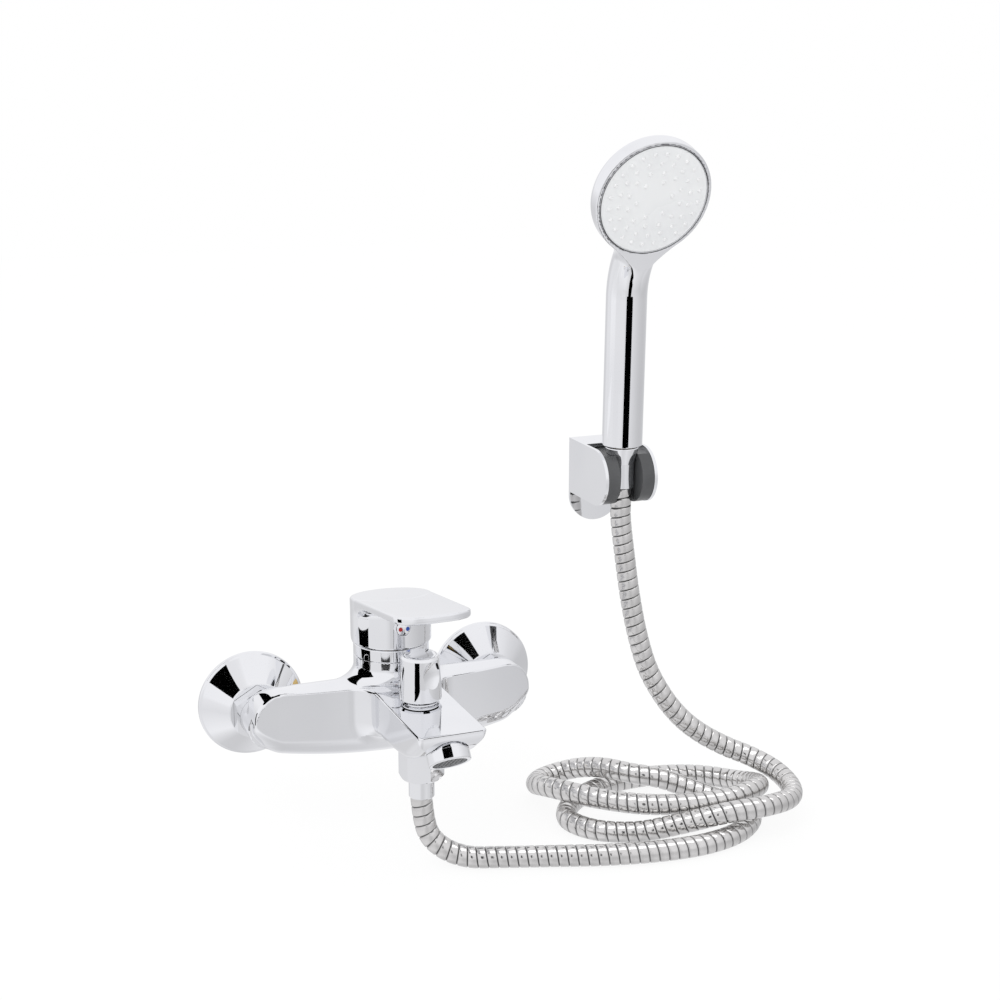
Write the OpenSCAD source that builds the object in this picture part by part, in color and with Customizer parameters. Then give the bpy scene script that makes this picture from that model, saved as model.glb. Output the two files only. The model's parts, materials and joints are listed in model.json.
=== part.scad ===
// Wall-held bath shower mixer with ribbed hose, hand shower and bracket.
// Millimetres. X right, Y into the wall, Z up. Origin midway between the inlets on the wall face.

/* [Wall inlets] */
// Distance between the two inlets
inlet_pitch = 150; // [130:1:170]
// Radius of the wall tail thread
tail_r = 10.48; // [9:0.01:13]
// Length of tail that goes into the wall
tail_len = 20; // [10:1:40]
// Radius of the water bore in the inlets
inlet_bore_r = 7.5; // [5:0.5:9]
// Rosette rim diameter
rosette_d = 64.6; // [55:0.2:80]
// Rosette depth from the wall
rosette_h = 18; // [12:0.5:25]
// Rosette sheet thickness
rosette_wall = 1.2; // [0.8:0.1:2]
// Rosette nose radius
nose_r = 17; // [15:0.5:20]
// Union nut size across flats
union_af = 29; // [28:1:36]
// Union nut length
union_len = 8.4; // [6:0.2:14]
// Thread radius of the body inlet bosses
boss_r = 12.95; // [12:0.05:14]

/* [Body] */
// Length of the body past each inlet axis
end_over = 11.5; // [10:0.5:25]
// Tower axis from the wall
body_axis = 47; // [45:0.5:60]
// Back of the body from the wall
body_back = 27; // [26:0.5:32]
// Front of the body from the wall
body_front = 66.5; // [60:0.5:76]
// Height of the crisp top edge
body_top = 25; // [22:0.5:30]
// Height of the body underside
body_bottom = -19; // [-24:0.5:-17]
// Radius of the body ends seen from the front
end_r = 20; // [16:0.5:20.5]
// Plan radius of the bowed front
bow_r = 330; // [250:5:900]
// Rounding along the back of the top
crown_r = 24; // [12:0.5:26]
// Rounding along the back of the underside
heel_r = 16; // [10:0.5:18]
// Rounding along the front of the underside
under_r = 12; // [6:0.5:14]
// Plan rounding of the back corners
back_r = 12; // [4:0.5:16]
// Tower radius
tower_r = 22.5; // [22:0.1:28]
// Tower top height
tower_top = 38; // [37.5:0.5:50]
// Height of the trim ring
ring_h = 7.4; // [4:0.2:10]
// Concave sweep from tower to body
sweep_r = 12.4; // [5:0.2:12.4]

/* [Spout] */
// Spout width
spout_w = 40; // [34:0.5:46]
// Spout reach from the wall
spout_reach = 153; // [145:0.5:190]
// Plan flare where the spout meets the body
flare_r = 13; // [4:0.5:16]
// Hose outlet and diverter from the wall
outlet_reach = 99; // [97:0.5:104]
// Height of the outlet face under the spout
outlet_z = -2.5; // [-8:0.5:0]
// Aerator radius
aer_r = 12.2; // [11:0.1:14]
// Aerator tilt to the front
aer_tilt = 36; // [20:1:40]
// Length of aerator that shows
aer_len = 6.75; // [5:0.25:9]
// Aerator mouth set back from the spout front
aer_back = 6.3; // [4:0.1:12]
// Aerator mouth height
aer_z = 4.7; // [0:0.1:8]
// Aerator thread radius
aer_thread_r = 11; // [9:0.1:12]

/* [Lever] */
// Lever cap radius
cap_r = 23.9; // [22.5:0.1:30]
// Lever cap wall
cap_wall = 2.5; // [1.5:0.1:4]
// Gap between trim ring and lever cap
cap_gap = 0.8; // [0.4:0.1:2]
// Height of the lever top above the tower
lever_top = 35.2; // [30:0.2:42]
// Lever reach in front of the tower axis
lever_reach = 87.4; // [60:0.2:100]
// Lever half width at the front
lever_half_w = 22.4; // [18:0.1:26]
// Lever corner radius
lever_corner = 15.5; // [8:0.5:20]
// Plan radius of the lever front
lever_bow = 58; // [57:1:200]
// Lever rise to the front, degrees
lever_rise = 8.6; // [0:0.2:10]
// Lever plate thickness
plate_t = 4.6; // [3:0.1:7]
// Greatest lift of the lever, degrees
lift_max = 20; // [10:1:22]
// Spindle width
spindle_w = 8; // [6:0.5:9]
// Pivot pin radius
pin_r = 1.5; // [1:0.1:2]
// Indicator button radius
button_r = 4.2; // [3:0.1:6]
// Height of the button above the lever pivot
button_rise = 13.8; // [10:0.2:16]

/* [Diverter] */
// Knob radius
knob_r = 12.25; // [9:0.05:15]
// Knob radius at its top
knob_top_r = 10.9; // [8:0.1:15]
// Knob height
knob_h = 26.4; // [20:0.2:32]
// Knob height above the spout
knob_lift = 1.2; // [1:0.1:4]
// Knob pull
knob_pull = 9; // [5:0.5:10]
// Radius of the finger scoop
scoop_r = 13; // [8:0.5:18]
// Direction of the finger scoop from +X towards the front, degrees
scoop_az = 70; // [0:5:90]
// Diverter stem radius
stem_r = 3; // [2:0.1:4]
// Diverter bore radius
valve_r = 8; // [6:0.1:9]

/* [Hose] */
// Outer diameter over the ribs
hose_d = 12.8; // [10:0.1:16]
// Bore diameter
hose_bore_d = 9.8; // [6:0.1:10]
// Depth of the grooves between ribs
rib_depth = 0.7; // [0.3:0.1:1.2]
// Number of ribs
rib_count = 200; // [60:1:200]
// Hose nut size across flats
hose_nut_af = 23; // [23:1:30]
// Hose nut length
hose_nut_len = 17; // [12:0.5:22]
// Radius of the outlet thread
hose_thread_r = 10.2; // [9.5:0.05:10.8]
// Ferrule wall
ferrule_wall = 0.8; // [0.6:0.1:1.5]
// Ferrule length
ferrule_len = 12; // [8:0.5:20]

/* [Hand shower] */
// Handle radius
handle_r = 12.4; // [11:0.1:16]
// Straight handle length
handle_len = 91; // [70:1:130]
// Neck bend radius
neck_r = 45; // [35:1:70]
// Neck bend angle
neck_a = 50; // [30:1:60]
// Straight run of the neck into the head
neck_run = 15; // [12:0.5:18]
// Bore radius of the handle
handset_bore_r = 6; // [4:0.5:7]
// Head radius
head_r = 36.3; // [32:0.1:50]
// Head depth
head_t = 14.5; // [12:0.5:20]
// Rounding of the back of the head
head_round = 7.5; // [4:0.5:10]
// Head tilt down, degrees
head_tilt = 21; // [5:1:35]
// Face centre in front of the handle axis
head_fwd = 37; // [30:0.5:50]
// Face centre above the top of the straight handle
head_rise = 60.8; // [45:0.2:80]
// Rim width round the face
rim_w = 2; // [1.5:0.1:4]
// Rings of nozzles, six more in each
nozzle_rings = 4; // [2:1:5]
// Radius step between nozzle rings
nozzle_step = 5.7; // [4:0.1:6]
// Nozzle radius
nozzle_r = 1; // [0.6:0.1:1.5]
// Inlet thread radius of the hand shower
inlet_r = 8.3; // [7:0.1:9]

/* [Cone nut] */
// Cone nut length
cone_len = 25.7; // [22:0.1:40]
// Cone nut top radius
cone_top_r = 10.4; // [9.8:0.1:13]
// Cone nut lower radius
cone_low_r = 7.7; // [7.4:0.1:9]
// Length of the cone
cone_h = 10.5; // [6:0.5:14]

/* [Bracket] */
// Bracket centre to the right of the origin
bracket_x = 153.5; // [150:0.5:170]
// Bracket width
bracket_w = 35; // [32:0.5:45]
// Handset axis from the wall
hold_y = 40; // [38:0.5:42]
// Bracket top height
bracket_top = 147; // [145:0.5:149]
// Bracket height
bracket_h = 35; // [32:0.5:38]
// Centre of the rounded front from the wall
bracket_c = 37.5; // [35:0.5:42]
// Sheet thickness of the chrome cover
cover_t = 2; // [1.5:0.1:3]
// Wall plate thickness
plate_thick = 2.2; // [1.5:0.1:3]
// Drop of the wall plate below the cover
tongue = 19.6; // [8:0.2:30]
// Slot width of the fork
slot_w = 15; // [14:0.1:16]
// Spacing of the two wall screws
screw_pitch = 18; // [12:0.5:20]
// Screw hole radius
screw_r = 2.3; // [2:0.1:3]
// Depth of the bracket screws in the wall
screw_in = 25; // [15:1:50]

/* [Fits] */
// Sliding and thread clearance
fit = 0.05; // [0.02:0.01:0.1]
// Clearance between moving faces
air = 0.3; // [0.2:0.05:0.6]

/* [Hidden] */
$fn = 72;
half_pitch = inlet_pitch / 2;
body_len = inlet_pitch + 2 * end_over;
end_x = body_len / 2 - end_r;
end_z = body_top - end_r;
crown_f = body_back + crown_r;
crown_z = body_top - crown_r;
heel_z = body_bottom + heel_r;
heel_f = body_back + heel_r;
tower_base = crown_z + 3;
under_z = body_bottom + under_r;
// The underside bows so that it runs smoothly into both ends
belly = end_z - body_bottom;
belly_r = (end_x * end_x + belly * belly - end_r * end_r) / (2 * (belly - end_r));
belly_x = end_x * belly_r / (belly_r - end_r);
hex_k = 1 / cos(30);
// Inlet stack, distances from the wall
nut_back = rosette_h + air;
nut_front = nut_back + union_len;
lip_t = 1.7;
flange_t = 1.4;
seal_t = 1.4;
flange_f = nut_back + lip_t + fit;
seal_f = flange_f + flange_t;
boss_f = seal_f + seal_t;
collar_r = nose_r - 3.4;
spigot_r = boss_r - 1.3;
// Cartridge stack
pocket_r = tower_r - 5.6;
pocket_z = 3;
nut_t = 7;
nut_z = tower_top - nut_t - 1;
ring_nut_r = tower_r - 3;
house_r = pocket_r - air;
house_top = nut_z;
disc_z = pocket_z + 5;
disc_t = 4;
drum_z = disc_z + 2 * disc_t + 2 * fit;
drum_top = house_top - 4.4;
drum_r = house_r - 4.4;
neck_r2 = spindle_w * 1.125;
ring_top = tower_top + ring_h;
pivot_z = ring_top - 0.1;
cap_z = ring_top + cap_gap;
carrier_top = pivot_z + pin_r + fit + 0.95;
cap_in = cap_r - cap_wall;
cap_roof = tower_top + lever_top - 9;
stalk_r = spindle_w;
stalk_z = pivot_z + 6.6;
button_z = pivot_z + button_rise;
relief = lift_max + 2.5;
// Spout nose, in the frame of the tilted aerator
aer_f = spout_reach - aer_back;
function nose_z(f) = aer_z + (aer_len - sin(aer_tilt) * (aer_f - f)) / cos(aer_tilt);
nose_back = aer_f - sin(aer_tilt) * aer_len - cos(aer_tilt) * (aer_r + 0.3);
// Diverter stack
bonnet_r = valve_r + 1.8;
bonnet_top = body_top + knob_lift - 0.6;
knob_z = body_top + knob_lift;
feed_a = 10.5;
spool_z = outlet_z + 3.3;
spool_h = 4;
bonnet_z = spool_z + spool_h + knob_pull + 3.2;
stem_in = 15;
// Hose end stack
nut_top_z = outlet_z - 2.2;
nut_low_z = nut_top_z - hose_nut_len;
nipple_end = nut_top_z - 10;
hose_r = hose_d / 2;
bore_r = hose_bore_d / 2;
bore_in = bore_r * cos(22.5);
ferrule_r = hose_r + ferrule_wall + air;
ferrule_end = nut_low_z - ferrule_len;
hose_z0 = nut_low_z - 1.8;
// Hand shower stack
foot_z = bracket_top + 2;
cone_top_z = foot_z - 0.6;
cone_z = cone_top_z - cone_len;
hose_z1 = cone_z + 5.3;
thread_len = 8;
neck_z = foot_z + handle_len;
head_pos = [0, -head_fwd, foot_z + handle_len + head_rise];
face_r = head_r - rim_w;
nozzle_r0 = 5.5;
cavity = 10;
// Bracket stack
round_r = bracket_h / 2;
bracket_z = bracket_top - round_r;
bracket_low = bracket_top - bracket_h;
inner_w = bracket_w - 2 * cover_t;
top_depth = 22;
screw_z = bracket_z - 0.5;
// Hose route, hand-picked points between the two straight ends
loops = [
    [3, -100.5, -56], [11, -104.5, -66], [24, -110, -71.5], [42, -117, -72],
    [70, -127, -72], [102, -138, -72], [134, -145, -72], [163, -146, -72],
    [188, -139, -72], [205, -124, -72], [207, -106, -72], [198, -92, -71],
    [184, -82, -66], [168, -74, -60], [152, -65, -57.5], [139, -50, -57.5],
    [129, -36, -61.5], [117, -29, -65.5], [104, -32, -66.5], [96, -43, -64.5],
    [95, -57, -60], [101, -73, -57.5], [115, -91, -57.5], [138, -109, -58],
    [165, -119, -58], [191, -121, -57.5], [213, -113, -58], [225, -95, -64],
    [223, -71, -71], [206, -53, -72], [182, -44, -72], [155, -43, -72],
    [129, -51, -72], [109, -66, -72], [100, -85, -72], [110, -105, -72],
    [131, -118, -71], [154, -129, -65], [179, -140, -57.5], [206, -141, -57],
    [228, -130, -60], [239, -112, -61], [239, -93, -58], [231, -77, -54],
    [217, -68, -48], [202, -62, -39], [189, -58, -27.5], [178, -54, -12.5],
    [169, -50, 6], [163, -47, 28], [159, -44, 52], [156, -41.5, 78]
];
start = [0, -outlet_reach, hose_z0];
finish = [bracket_x, -hold_y, hose_z1];
route = concat([start, start - [0, 0, 14]], loops, [finish - [0, 0, 26], finish - [0, 0, 13], finish]);
pts = len(route);
function knot(i) = i < 0 ? 2 * route[0] - route[1]
    : i >= pts ? 2 * route[pts - 1] - route[pts - 2] : route[i];
function curve(i, t) = let (a = knot(i - 1), b = knot(i), c = knot(i + 1), d = knot(i + 2))
    0.5 * (2 * b + (c - a) * t + (2 * a - 5 * b + 4 * c - d) * t * t + (3 * b - a - 3 * c + d) * t * t * t);
fine = 8;
trail = [for (i = [0:pts - 2]) for (k = [0:fine - 1]) curve(i, k / fine), route[pts - 1]];
steps = len(trail) - 1;
run = [for (i = 0, s = 0; i <= steps; s = s + (i < steps ? norm(trail[i + 1] - trail[i]) : 0), i = i + 1) s];
hose_len = run[steps];
// Two rings a rib, at equal distances along the trail
rings = 2 * rib_count;
spot = [for (i = 0, j = 0; i <= rings;
    i = i + 1, j = let (want = min(i, rings) * hose_len / rings)
        [for (m = j; m < steps - 1 && run[m + 1] < want; m = m + 1) 1] == [] ? j
        : j + len([for (m = j; m < steps - 1 && run[m + 1] < want; m = m + 1) 1]))
    let (want = i * hose_len / rings, u = (want - run[j]) / (run[j + 1] - run[j]))
    trail[j] + (trail[j + 1] - trail[j]) * min(max(u, 0), 1)];
function unit(v) = v / norm(v);
heading = [for (i = [0:rings]) unit(spot[min(i + 1, rings)] - spot[max(i - 1, 0)])];
function across(v, t) = unit(v - t * (v * t));
side = [for (i = 0, v = [1, 0, 0]; i <= rings; i = i + 1, v = across(v, heading[min(i, rings)])) v];
sides = 8;
function hoop(i, r) = let (t = heading[i], a = side[i], b = cross(t, a))
    [for (k = [0:sides - 1]) spot[i] + r * (cos(k * 45) * a + sin(k * 45) * b)];
bore_skip = 4;
bore_at = [for (i = [0:bore_skip:rings]) i];
outer_pts = [for (i = [0:rings]) for (p = hoop(i, i % 2 == 0 ? hose_r : hose_r - rib_depth)) p];
inner_pts = [for (i = bore_at) for (p = hoop(i, bore_r)) p];
base = len(outer_pts);
last = len(bore_at) - 1;
function wall_faces(n, o, flip) = [for (i = [0:n - 1]) for (k = [0:sides - 1])
    let (a = o + i * sides + k, b = o + i * sides + (k + 1) % sides, c = a + sides, d = b + sides)
    for (f = flip ? [[a, c, b], [b, c, d]] : [[a, b, c], [b, d, c]]) f];
function cap_faces(a0, b0, flip) = [for (k = [0:sides - 1])
    let (a = a0 + k, b = a0 + (k + 1) % sides, c = b0 + k, d = b0 + (k + 1) % sides)
    for (f = flip ? [[a, b, c], [b, d, c]] : [[a, c, b], [b, c, d]]) f];
hose_faces = concat(
    wall_faces(rings, 0, true),
    wall_faces(last, base, false),
    cap_faces(0, base, true),
    cap_faces(rings * sides, base + last * sides, false));
apart = ceil(3 * hose_d / (hose_len / rings));
least = min([for (i = [0:2:rings]) for (j = [i + apart:2:rings]) norm(spot[i] - spot[j])]) - hose_d;
echo(hose_length = hose_len, hose_least_gap = least);

chrome = [0.85, 0.86, 0.88];
brass = [0.80, 0.66, 0.36];
rubber = [0.12, 0.12, 0.13];
white = [0.93, 0.93, 0.92];
grey = [0.30, 0.30, 0.31];
ceramic = [0.88, 0.85, 0.80];

// Shapes that face the wall: local z runs out of the wall
module out(x = 0, f = 0, z = 0) translate([x, -f, z]) rotate([90, 0, 0]) children();
// Side sections: distance from the wall to the right, height up, spread along X
module across_x(w) rotate([90, 0, -90]) linear_extrude(w, center = true) children();
module at_tower() translate([0, -body_axis, 0]) children();
module at_outlet() translate([0, -outlet_reach, 0]) children();
module at_aerator() translate([0, -aer_f, aer_z]) rotate([-aer_tilt, 0, 0]) children();
module at_hold() translate([bracket_x, -hold_y, 0]) children();
module at_face() at_hold() translate(head_pos) rotate([90 + head_tilt, 0, 0]) children();
module pipe(r, bore, h) difference() {
    cylinder(r = r, h = h);
    translate([0, 0, -1]) cylinder(r = bore, h = h + 2);
}
module hex(af, h) cylinder(r = af / 2 * hex_k, h = h, $fn = 6);
module both_inlets() for (s = [-1, 1]) translate([s * half_pitch, 0, 0]) children();
module both_screws() for (s = [-0.5, 0.5]) out(bracket_x, 0, screw_z + s * screw_pitch) children();

module bar_section() {
    // Top back quarter round, and the flat top that ends in the crisp front edge
    intersection() {
        translate([crown_f, crown_z]) circle(crown_r, $fn = 128);
        translate([body_back, crown_z]) square([crown_r, crown_r]);
    }
    translate([crown_f, crown_z]) square([body_front - crown_f, crown_r]);
    translate([body_back, heel_z]) square([body_front - body_back, crown_z - heel_z]);
    // Underside with a larger round at the back than at the front
    intersection() {
        translate([heel_f, heel_z]) circle(heel_r, $fn = 128);
        translate([body_back, body_bottom]) square([heel_r, heel_r]);
    }
    translate([heel_f, body_bottom]) square([body_front - under_r - heel_f, heel_r]);
    intersection() {
        translate([body_front - under_r, under_z]) circle(under_r);
        translate([body_front - under_r, body_bottom]) square([under_r, under_r]);
    }
    translate([body_front - under_r, under_z]) square([under_r, heel_z - under_z]);
}

module bar_plan() intersection() {
    union() {
        translate([-body_len / 2, -body_front - 5])
            square([body_len, body_front + 5 - body_back - back_r]);
        translate([-body_len / 2 + back_r, -body_front])
            square([body_len - 2 * back_r, body_front - body_back]);
        for (s = [-1, 1]) translate([s * (body_len / 2 - back_r), -body_back - back_r]) circle(back_r);
    }
    translate([0, bow_r - body_front]) circle(bow_r, $fn = 256);
}

module bar_front() {
    translate([-end_x, end_z]) square([2 * end_x, end_r]);
    for (s = [-1, 1]) translate([s * end_x, end_z]) circle(end_r, $fn = 128);
    intersection() {
        translate([-belly_x, body_bottom]) square([2 * belly_x, belly]);
        translate([0, body_bottom + belly_r]) circle(belly_r, $fn = 256);
    }
}

module bar() intersection() {
    across_x(body_len + 10) bar_section();
    translate([0, 0, body_bottom - 5]) linear_extrude(body_top - body_bottom + 10) bar_plan();
    out() linear_extrude(body_front + 10) bar_front();
}

module tower() {
    at_tower() translate([0, 0, tower_base]) cylinder(r = tower_r, h = tower_top - tower_base);
    intersection() {
        at_tower() translate([0, 0, body_top]) rotate_extrude() difference() {
            translate([0, -4]) square([tower_r + sweep_r, sweep_r + 4]);
            translate([tower_r + sweep_r, sweep_r]) circle(sweep_r);
        }
        translate([0, 0, body_top - 5]) linear_extrude(sweep_r + 6) bar_plan();
        out(0, body_axis - 6) translate([-body_len / 2, 0, 0]) cube([body_len, tower_top, spout_reach]);
    }
}

module spout_plan() {
    half = spout_w / 2;
    translate([-half, -spout_reach + 3]) square([spout_w, spout_reach - 3 - body_axis]);
    translate([-half + 3, -spout_reach]) square([spout_w - 6, 10]);
    for (s = [-1, 1]) translate([s * (half - 3), -spout_reach + 3]) circle(3);
    for (s = [-1, 1]) difference() {
        translate([s * (half + flare_r / 2) - flare_r / 2, -body_front - flare_r])
            square([flare_r, flare_r + 8]);
        translate([s * (half + flare_r), -body_front - flare_r]) circle(flare_r);
    }
}

module spout_side() polygon([
    [body_axis, body_top], [spout_reach - 1.6, body_top], [spout_reach, body_top - 1.4],
    [spout_reach, nose_z(spout_reach)], [nose_back, nose_z(nose_back)],
    [outlet_reach + 15, outlet_z + 1.6], [outlet_reach + 14, outlet_z], [outlet_reach - 14, outlet_z],
    [body_front + 7, body_bottom + 6], [body_axis, body_bottom + 3]]);

module spout() intersection() {
    across_x(3 * spout_w) spout_side();
    translate([0, 0, body_bottom - 5]) linear_extrude(body_top - body_bottom + 10) spout_plan();
}

module waterways() {
    at_tower() translate([0, 0, pocket_z]) cylinder(r = pocket_r, h = tower_top);
    at_tower() translate([0, 0, nut_z]) cylinder(r = ring_nut_r, h = tower_top);
    both_inlets() out(0, boss_f - 1) cylinder(r = inlet_bore_r, h = body_axis - boss_f + 1);
    for (s = [-1, 1]) translate([s * 9, -body_axis, -4]) {
        rotate([0, s * 90, 0]) cylinder(r = 5, h = half_pitch - 9);
        cylinder(r = 3.5, h = pocket_z + 5);
    }
    translate([0, -body_axis - 9, -4]) cylinder(r = 3.5, h = pocket_z + 5);
    out(0, body_axis + 9, -3) rotate([-feed_a, 0, 0]) cylinder(r = 3.2, h = outlet_reach - body_axis - 9);
    at_outlet() translate([0, 0, outlet_z - 1]) cylinder(r = valve_r, h = bonnet_z - outlet_z + 2);
    at_outlet() translate([0, 0, bonnet_z]) cylinder(r = bonnet_r + fit, h = body_top);
    at_aerator() translate([0, 0, aer_len - 3]) cylinder(r = aer_thread_r + fit, h = 10);
    out(0, outlet_reach, 6) rotate([-11, 0, 0]) cylinder(r = 4, h = aer_f - outlet_reach - 8);
}

module mixer_body() color(chrome) difference() {
    union() {
        bar();
        tower();
        spout();
        both_inlets() out(0, boss_f) cylinder(r = boss_r, h = body_back + 7 - boss_f);
    }
    waterways();
}

module wall_union(s) color(brass) translate([s * half_pitch, 0, 0]) out(0, -tail_len) difference() {
    union() {
        cylinder(r = tail_r, h = tail_len + 3);
        translate([0, 0, tail_len + 2]) cylinder(r = collar_r, h = rosette_h - 2.1);
        translate([0, 0, tail_len + 4]) cylinder(r = spigot_r, h = seal_f - 4);
        translate([0, 0, tail_len + flange_f]) cylinder(r = boss_r, h = flange_t);
    }
    translate([0, 0, -1]) cylinder(r = inlet_bore_r, h = tail_len + seal_f + 2);
}
module wall_union_left() wall_union(-1);
module wall_union_right() wall_union(1);

module union_nuts() color(chrome) both_inlets() out(0, nut_back) difference() {
    rotate(30) hex(union_af, union_len);
    translate([0, 0, -1]) cylinder(r = spigot_r + air, h = union_len + 2);
    translate([0, 0, lip_t]) cylinder(r = boss_r + fit, h = union_len);
}

module union_washers() color(rubber) both_inlets() out(0, seal_f)
    pipe(boss_r - 0.6, inlet_bore_r + 0.5, seal_t);

module rosette(s) color(chrome) translate([s * half_pitch, 0, 0]) out() rotate_extrude()
    polygon([
        [rosette_d / 2, 0.2], [rosette_d / 2, 2.4], [rosette_d / 2 - 0.6, 3],
        [rosette_d / 2 - 1.6, 3.4], [nose_r, rosette_h - 1.2], [nose_r, rosette_h],
        [collar_r + fit, rosette_h], [collar_r + fit, rosette_h - 1.4],
        [nose_r - rosette_wall, rosette_h - 2.4], [rosette_d / 2 - 2 * rosette_wall - 0.6, 2.8],
        [rosette_d / 2 - rosette_wall, 2.2], [rosette_d / 2 - rosette_wall, 0.2]]);
module rosette_left() rosette(-1);
module rosette_right() rosette(1);

module cartridge_seal() color(rubber) at_tower() translate([0, 0, pocket_z])
    pipe(house_r - 1, drum_r - 3, 2);

module cartridge_housing() color(white) at_tower() difference() {
    translate([0, 0, pocket_z + 2]) cylinder(r = house_r, h = house_top - pocket_z - 2);
    translate([0, 0, disc_z]) cylinder(r = drum_r + air, h = drum_top + air - disc_z);
    translate([0, 0, disc_z]) cylinder(r = neck_r2 + air, h = 40);
    for (a = [-90, 0, 180]) rotate(a) translate([9, 0, 0]) cylinder(r = 3, h = 20);
}

module lower_disc() color(ceramic) at_tower() translate([0, 0, disc_z]) difference() {
    cylinder(r = drum_r, h = disc_t);
    for (a = [-90, 0, 180]) rotate(a) translate([9, 0, -1]) cylinder(r = 2.5, h = disc_t + 2);
}

module upper_disc() color(ceramic) at_tower() translate([0, 0, disc_z + disc_t + fit]) difference() {
    cylinder(r = drum_r - 0.6, h = disc_t);
    rotate(-90) translate([4, 0, -1]) cylinder(r = 5, h = disc_t - 1);
}

module carrier() color(white) at_tower() difference() {
    union() {
        translate([0, 0, drum_z]) cylinder(r = drum_r, h = drum_top - drum_z);
        translate([0, 0, drum_z]) cylinder(r = neck_r2, h = carrier_top - drum_z);
    }
    translate([-spindle_w / 2 - fit, -cap_r, pivot_z - 1.25 * spindle_w])
        cube([spindle_w + 2 * fit, 2 * cap_r, 4 * spindle_w]);
    translate([-cap_r, 0, pivot_z]) rotate([0, 90, 0]) cylinder(r = pin_r + fit, h = 2 * cap_r);
}

module spindle() color(brass) at_tower() difference() {
    translate([-spindle_w / 2, -spindle_w / 2, pivot_z - 5])
        cube([spindle_w, spindle_w, cap_roof - pivot_z + 5 - fit]);
    translate([-cap_r, 0, pivot_z]) rotate([0, 90, 0]) cylinder(r = pin_r + fit / 2, h = 2 * cap_r);
}

module pivot_pin() color(chrome) at_tower() translate([0, 0, pivot_z]) rotate([0, 90, 0])
    cylinder(r = pin_r, h = 2 * neck_r2 - 1, center = true);

module cartridge_nut() color(brass) at_tower() translate([0, 0, nut_z]) difference() {
    cylinder(r = ring_nut_r - fit, h = nut_t);
    translate([0, 0, -1]) cylinder(r = neck_r2 + 2, h = nut_t + 2);
    for (a = [0:60:300]) rotate(a) translate([neck_r2 + 4, -spindle_w / 4, nut_t - 3])
        cube([tower_r, spindle_w / 2, nut_t]);
}

module tower_ring() color(chrome) at_tower() rotate_extrude() polygon([
    [ring_nut_r - 2.5, tower_top], [tower_r, tower_top], [tower_r, ring_top - 0.8],
    [tower_r - 0.7, ring_top], [tower_r - 4.5, ring_top], [neck_r2 + 2.5, ring_top + 2.4],
    [neck_r2 + 2.5, ring_top + 1], [ring_nut_r - 2.5, ring_top - 1.6]]);

module lever_plan() intersection() {
    front_y = lever_corner - lever_reach;
    flat = lever_half_w - lever_corner;
    union() {
        circle(cap_r);
        polygon([[-cap_r, 0], [cap_r, 0], [lever_half_w, front_y], [-lever_half_w, front_y]]);
        for (s = [-1, 1]) translate([s * flat, front_y]) circle(lever_corner);
        translate([-flat, -lever_reach]) square([2 * flat, lever_corner]);
    }
    translate([0, lever_bow - lever_reach]) circle(lever_bow, $fn = 160);
}

module on_plate() translate([0, 0, tower_top + lever_top]) rotate([-lever_rise, 0, 0]) children();

module lever() color(chrome) at_tower() difference() {
    union() {
        intersection() {
            rotate_extrude() polygon([
                [cap_in, cap_z], [cap_r - 1, cap_z], [cap_r, cap_z + 1.2], [cap_r, cap_roof + 20],
                [0, cap_roof + 20], [0, cap_roof], [cap_in, cap_roof]]);
            on_plate() translate([-lever_reach, -lever_reach, -lever_reach - plate_t / 4])
                cube([2 * lever_reach, 2 * lever_reach, lever_reach]);
        }
        on_plate() translate([0, 0, -plate_t]) linear_extrude(plate_t) lever_plan();
        translate([0, 0, stalk_z]) cylinder(r = stalk_r, h = cap_roof - stalk_z + 1);
    }
    translate([-spindle_w / 2 - fit, -spindle_w / 2 - fit, stalk_z - 1])
        cube([spindle_w + 2 * fit, spindle_w + 2 * fit, cap_roof - stalk_z + 1]);
    translate([0, 0, cap_z]) rotate([relief, 0, 0]) translate([-2 * cap_r, 0, -2 * cap_r])
        cube([4 * cap_r, 3 * cap_r, 2 * cap_r]);
    out(0, spindle_w / 2, button_z) cylinder(r = 2.5 + fit, h = 10);
    out(0, cap_in - 2, button_z) cylinder(r = button_r + fit, h = 10);
}

module lever_screw() color(chrome) at_tower() out(0, spindle_w / 2 + fit, button_z) difference() {
    cylinder(r = 2.5, h = 5.5);
    translate([0, 0, 3]) hex(2.5, 4);
}

module indicator_button() color(chrome) at_tower() out(0, cap_in, button_z) rotate_extrude()
    polygon([[0, 0], [button_r, 0], [button_r, cap_wall + 0.4],
        [button_r - 0.5, cap_wall + 0.9], [0, cap_wall + 0.9]]);

module dot(s) at_tower() out(s * button_r / 2, cap_r + 0.9, button_z) rotate_extrude()
    polygon([[0, 0], [1.3, 0], [1.1, 0.3], [0, 0.4]]);
module hot_dot() color([0.80, 0.15, 0.12]) dot(-1);
module cold_dot() color([0.15, 0.25, 0.65]) dot(1);

module diverter_bonnet() color(brass) at_outlet() difference() {
    union() {
        translate([0, 0, bonnet_z]) cylinder(r = bonnet_r, h = bonnet_top - bonnet_z);
        translate([0, 0, body_top]) cylinder(r = bonnet_r + 0.8, h = bonnet_top - body_top);
    }
    translate([0, 0, bonnet_z - 1]) cylinder(r = stem_r + fit, h = 20);
}

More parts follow.
